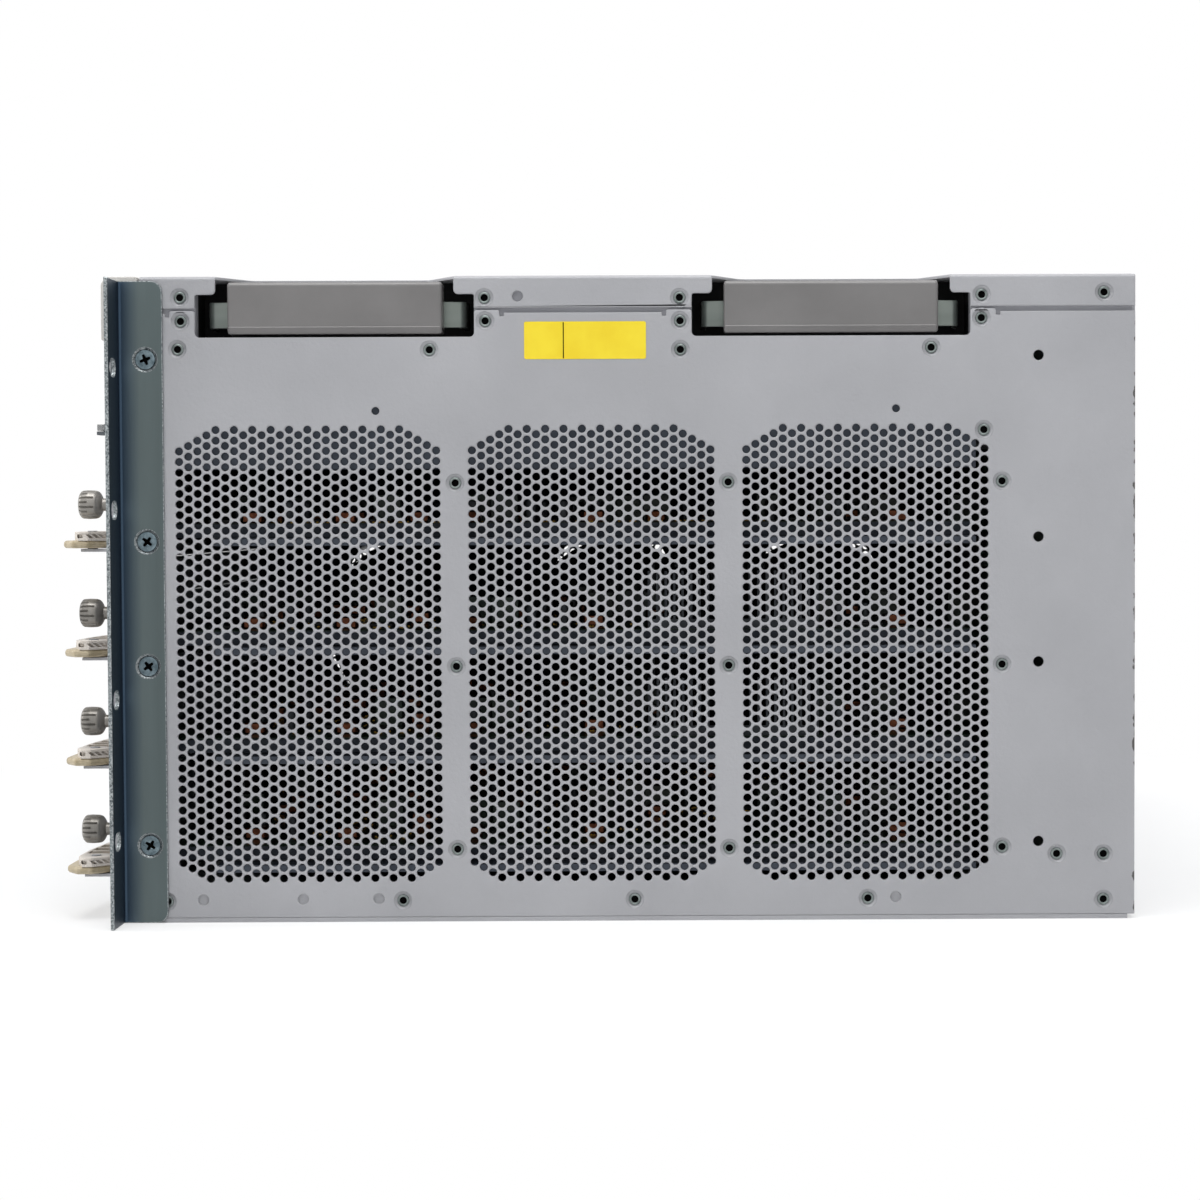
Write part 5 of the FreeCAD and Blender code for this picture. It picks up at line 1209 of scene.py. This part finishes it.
label = {
    "from": 166.7 * mm,
    "to": 216.1 * mm,
    "foot": 228.8 * mm,
    "top": 244.0 * mm,
    "thick": 0.15 * mm,
    "divider": 182.6 * mm,
    "line": 0.45 * mm,
}
outline = boxLoop(label["from"], label["to"], label["foot"], label["top"], 0.8 * mm, 4)
bm = sheetMetal(outline, [], [], label["thick"], 0.04 * mm)
newPiece("side_label", stand(bm, outward["right"], (sideX + label["thick"], frontY, 0)), "label")
outline = boxLoop(label["divider"] - label["line"] / 2, label["divider"] + label["line"] / 2,
                  label["foot"] + 0.3 * mm, label["top"] - 0.3 * mm, 0.1 * mm)
bm = sheetMetal(outline, [], [], 0.05 * mm, 0.01 * mm)
stand(bm, outward["right"], (sideX + label["thick"] + 0.03 * mm, frontY, 0))
newPiece("side_label_divider", bm, "pit")
print("label set")


# the carried-over solids, by their whole name or its ending
nodeFinish = {
    "base_tray": "paint", "rear_panel": "paint", "front_bezel": "bezel", "power_cage": "inner",
    "fan_bay_wall": "inner", "card_guides": "inner", "backplane": "board", "handle_pockets": "pocket",
    "power_bay_blanks": "paint", "fan_tray_frame": "steel", "fan_tray_screw": "nickel", "_strap": "strap",
    "_grip": "grip", "_faceplate": "paint", "_carrier": "inner", "_board": "board", "_lever_right": "lever",
    "_lever_left": "lever", "_screw_right": "nickel", "_screw_left": "nickel", "_case": "steel",
    "_latch": "latch", "fan_rotor_1": "black", "fan_rotor_2": "black", "fan_rotor_3": "black",
    "_rack_ear": "ear", "ear_screws": "screw",
}
for name, item in frame["nodes"].items():
    key = next((key for ending, key in nodeFinish.items() if name.endswith(ending)), "paint")
    item.data.materials.clear()
    item.data.materials.append(finish[key])
print("finishes given")


studio = {
    "floor": 6.0,                       # half its side
    "fade": (0.25, 0.6),                # distance over which the floor turns into plain background
    "fill": ("E4E9F0", 0.36),
    # place, aimed at, side, watts
    "lamps": {
        "overhead": ((0.8, -0.1, 2.3), (0.15, 0.0, 0.12), 1.6, 50.0),
        "sideFill": ((2.3, 0.0, 0.9), (0.2, 0.0, 0.12), 1.5, 2.5),
        "frontFill": ((0.2, -1.9, 1.1), (0.0, 0.0, 0.12), 1.2, 16.0),
        "backFill": ((-1.6, 1.2, 1.4), (0.0, 0.0, 0.12), 1.4, 20.0),
    },
    "place": (1.29572, 0.02423, 0.16606),
    "aim": (-0.2973, -1.9828, 0.2284),  # yaw from looking along -X, pitch and roll, in degrees
    "lens": 79.4,
    "shift": (-0.0825, 0.0042),
}


# paper that keeps the shadow near the chassis and turns plain white away from it
def makeFloor():
    material = finish["paper"]
    tree = material.node_tree
    surface = tree.nodes["Principled BSDF"]
    spot = tree.nodes["Texture Coordinate"].outputs["Object"]
    away = addNode(tree, "ShaderNodeVectorMath", {"operation": "LENGTH"}, links={0: spot})
    share = addNode(tree, "ShaderNodeMapRange", {"interpolation_type": "SMOOTHSTEP"},
                    {"From Min": studio["fade"][0], "From Max": studio["fade"][1], "To Min": 0.5},
                    {"Value": away.outputs["Value"]})
    rays = addNode(tree, "ShaderNodeLightPath")
    seen = addNode(tree, "ShaderNodeMath", {"operation": "MAXIMUM"},
                   links={0: rays.outputs["Is Camera Ray"], 1: rays.outputs["Is Glossy Ray"]})
    part = addNode(tree, "ShaderNodeMath", {"operation": "MULTIPLY"},
                   links={0: share.outputs["Result"], 1: seen.outputs["Value"]})
    plain = addNode(tree, "ShaderNodeEmission", values={"Color": hexColour("FFFFFF"), "Strength": 1.0})
    mix = addNode(tree, "ShaderNodeMixShader", links={0: part.outputs["Value"], 1: surface.outputs["BSDF"],
                                                      2: plain.outputs["Emission"]})
    tree.links.new(mix.outputs["Shader"], tree.nodes["Material Output"].inputs["Surface"])
    half = studio["floor"]
    mesh = bpy.data.meshes.new("floor")
    corners = [(-half, -half, 0), (half, -half, 0), (half, half, 0), (-half, half, 0)]
    mesh.from_pydata(corners, [], [(0, 1, 2, 3)])
    mesh.materials.append(material)
    floor = bpy.data.objects.new("floor", mesh)
    bpy.context.collection.objects.link(floor)


def makeWorld():
    world = bpy.data.worlds.new("studio")
    bpy.context.scene.world = world
    world.use_nodes = True
    tree = world.node_tree
    tree.nodes.clear()
    rays = addNode(tree, "ShaderNodeLightPath")
    seen = addNode(tree, "ShaderNodeMath", {"operation": "MAXIMUM"},
                   links={0: rays.outputs["Is Camera Ray"], 1: rays.outputs["Is Glossy Ray"]})
    seen = addNode(tree, "ShaderNodeMath", {"operation": "MAXIMUM"},
                   links={0: seen.outputs["Value"], 1: rays.outputs["Is Transmission Ray"]})
    colour, strength = studio["fill"]
    fill = addNode(tree, "ShaderNodeBackground", values={"Color": hexColour(colour), "Strength": strength})
    white = addNode(tree, "ShaderNodeBackground", values={"Color": hexColour("FFFFFF"), "Strength": 1.0})
    mix = addNode(tree, "ShaderNodeMixShader",
                  links={0: seen.outputs["Value"], 1: fill.outputs[0], 2: white.outputs[0]})
    addNode(tree, "ShaderNodeOutputWorld", links={"Surface": mix.outputs[0]})


def makeLamps():
    for name, (place, aim, width, watts) in studio["lamps"].items():
        light = bpy.data.lights.new(name, "AREA")
        light.shape = "SQUARE"
        light.size = width
        light.energy = watts
        lamp = bpy.data.objects.new(name, light)
        lamp.location = place
        lamp.rotation_euler = (Vector(aim) - Vector(place)).to_track_quat("-Z", "Y").to_euler()
        bpy.context.collection.objects.link(lamp)


def makeCamera():
    data = bpy.data.cameras.new("camera")
    data.lens = studio["lens"]
    data.sensor_width = 36
    data.shift_x, data.shift_y = studio["shift"]
    data.clip_start = 0.01
    yaw, pitch, roll = (math.radians(angle) for angle in studio["aim"])
    camera = bpy.data.objects.new("camera", data)
    camera.location = studio["place"]
    aim = Euler((math.pi / 2 + pitch, 0, math.pi / 2 + yaw)).to_quaternion()
    camera.rotation_euler = (aim @ Quaternion((0, 0, 1), -roll)).to_euler()
    bpy.context.collection.objects.link(camera)
    bpy.context.scene.camera = camera


makeFloor()
makeWorld()
makeLamps()
makeCamera()
bpy.context.scene.view_settings.view_transform = "Standard"
print("stage set")
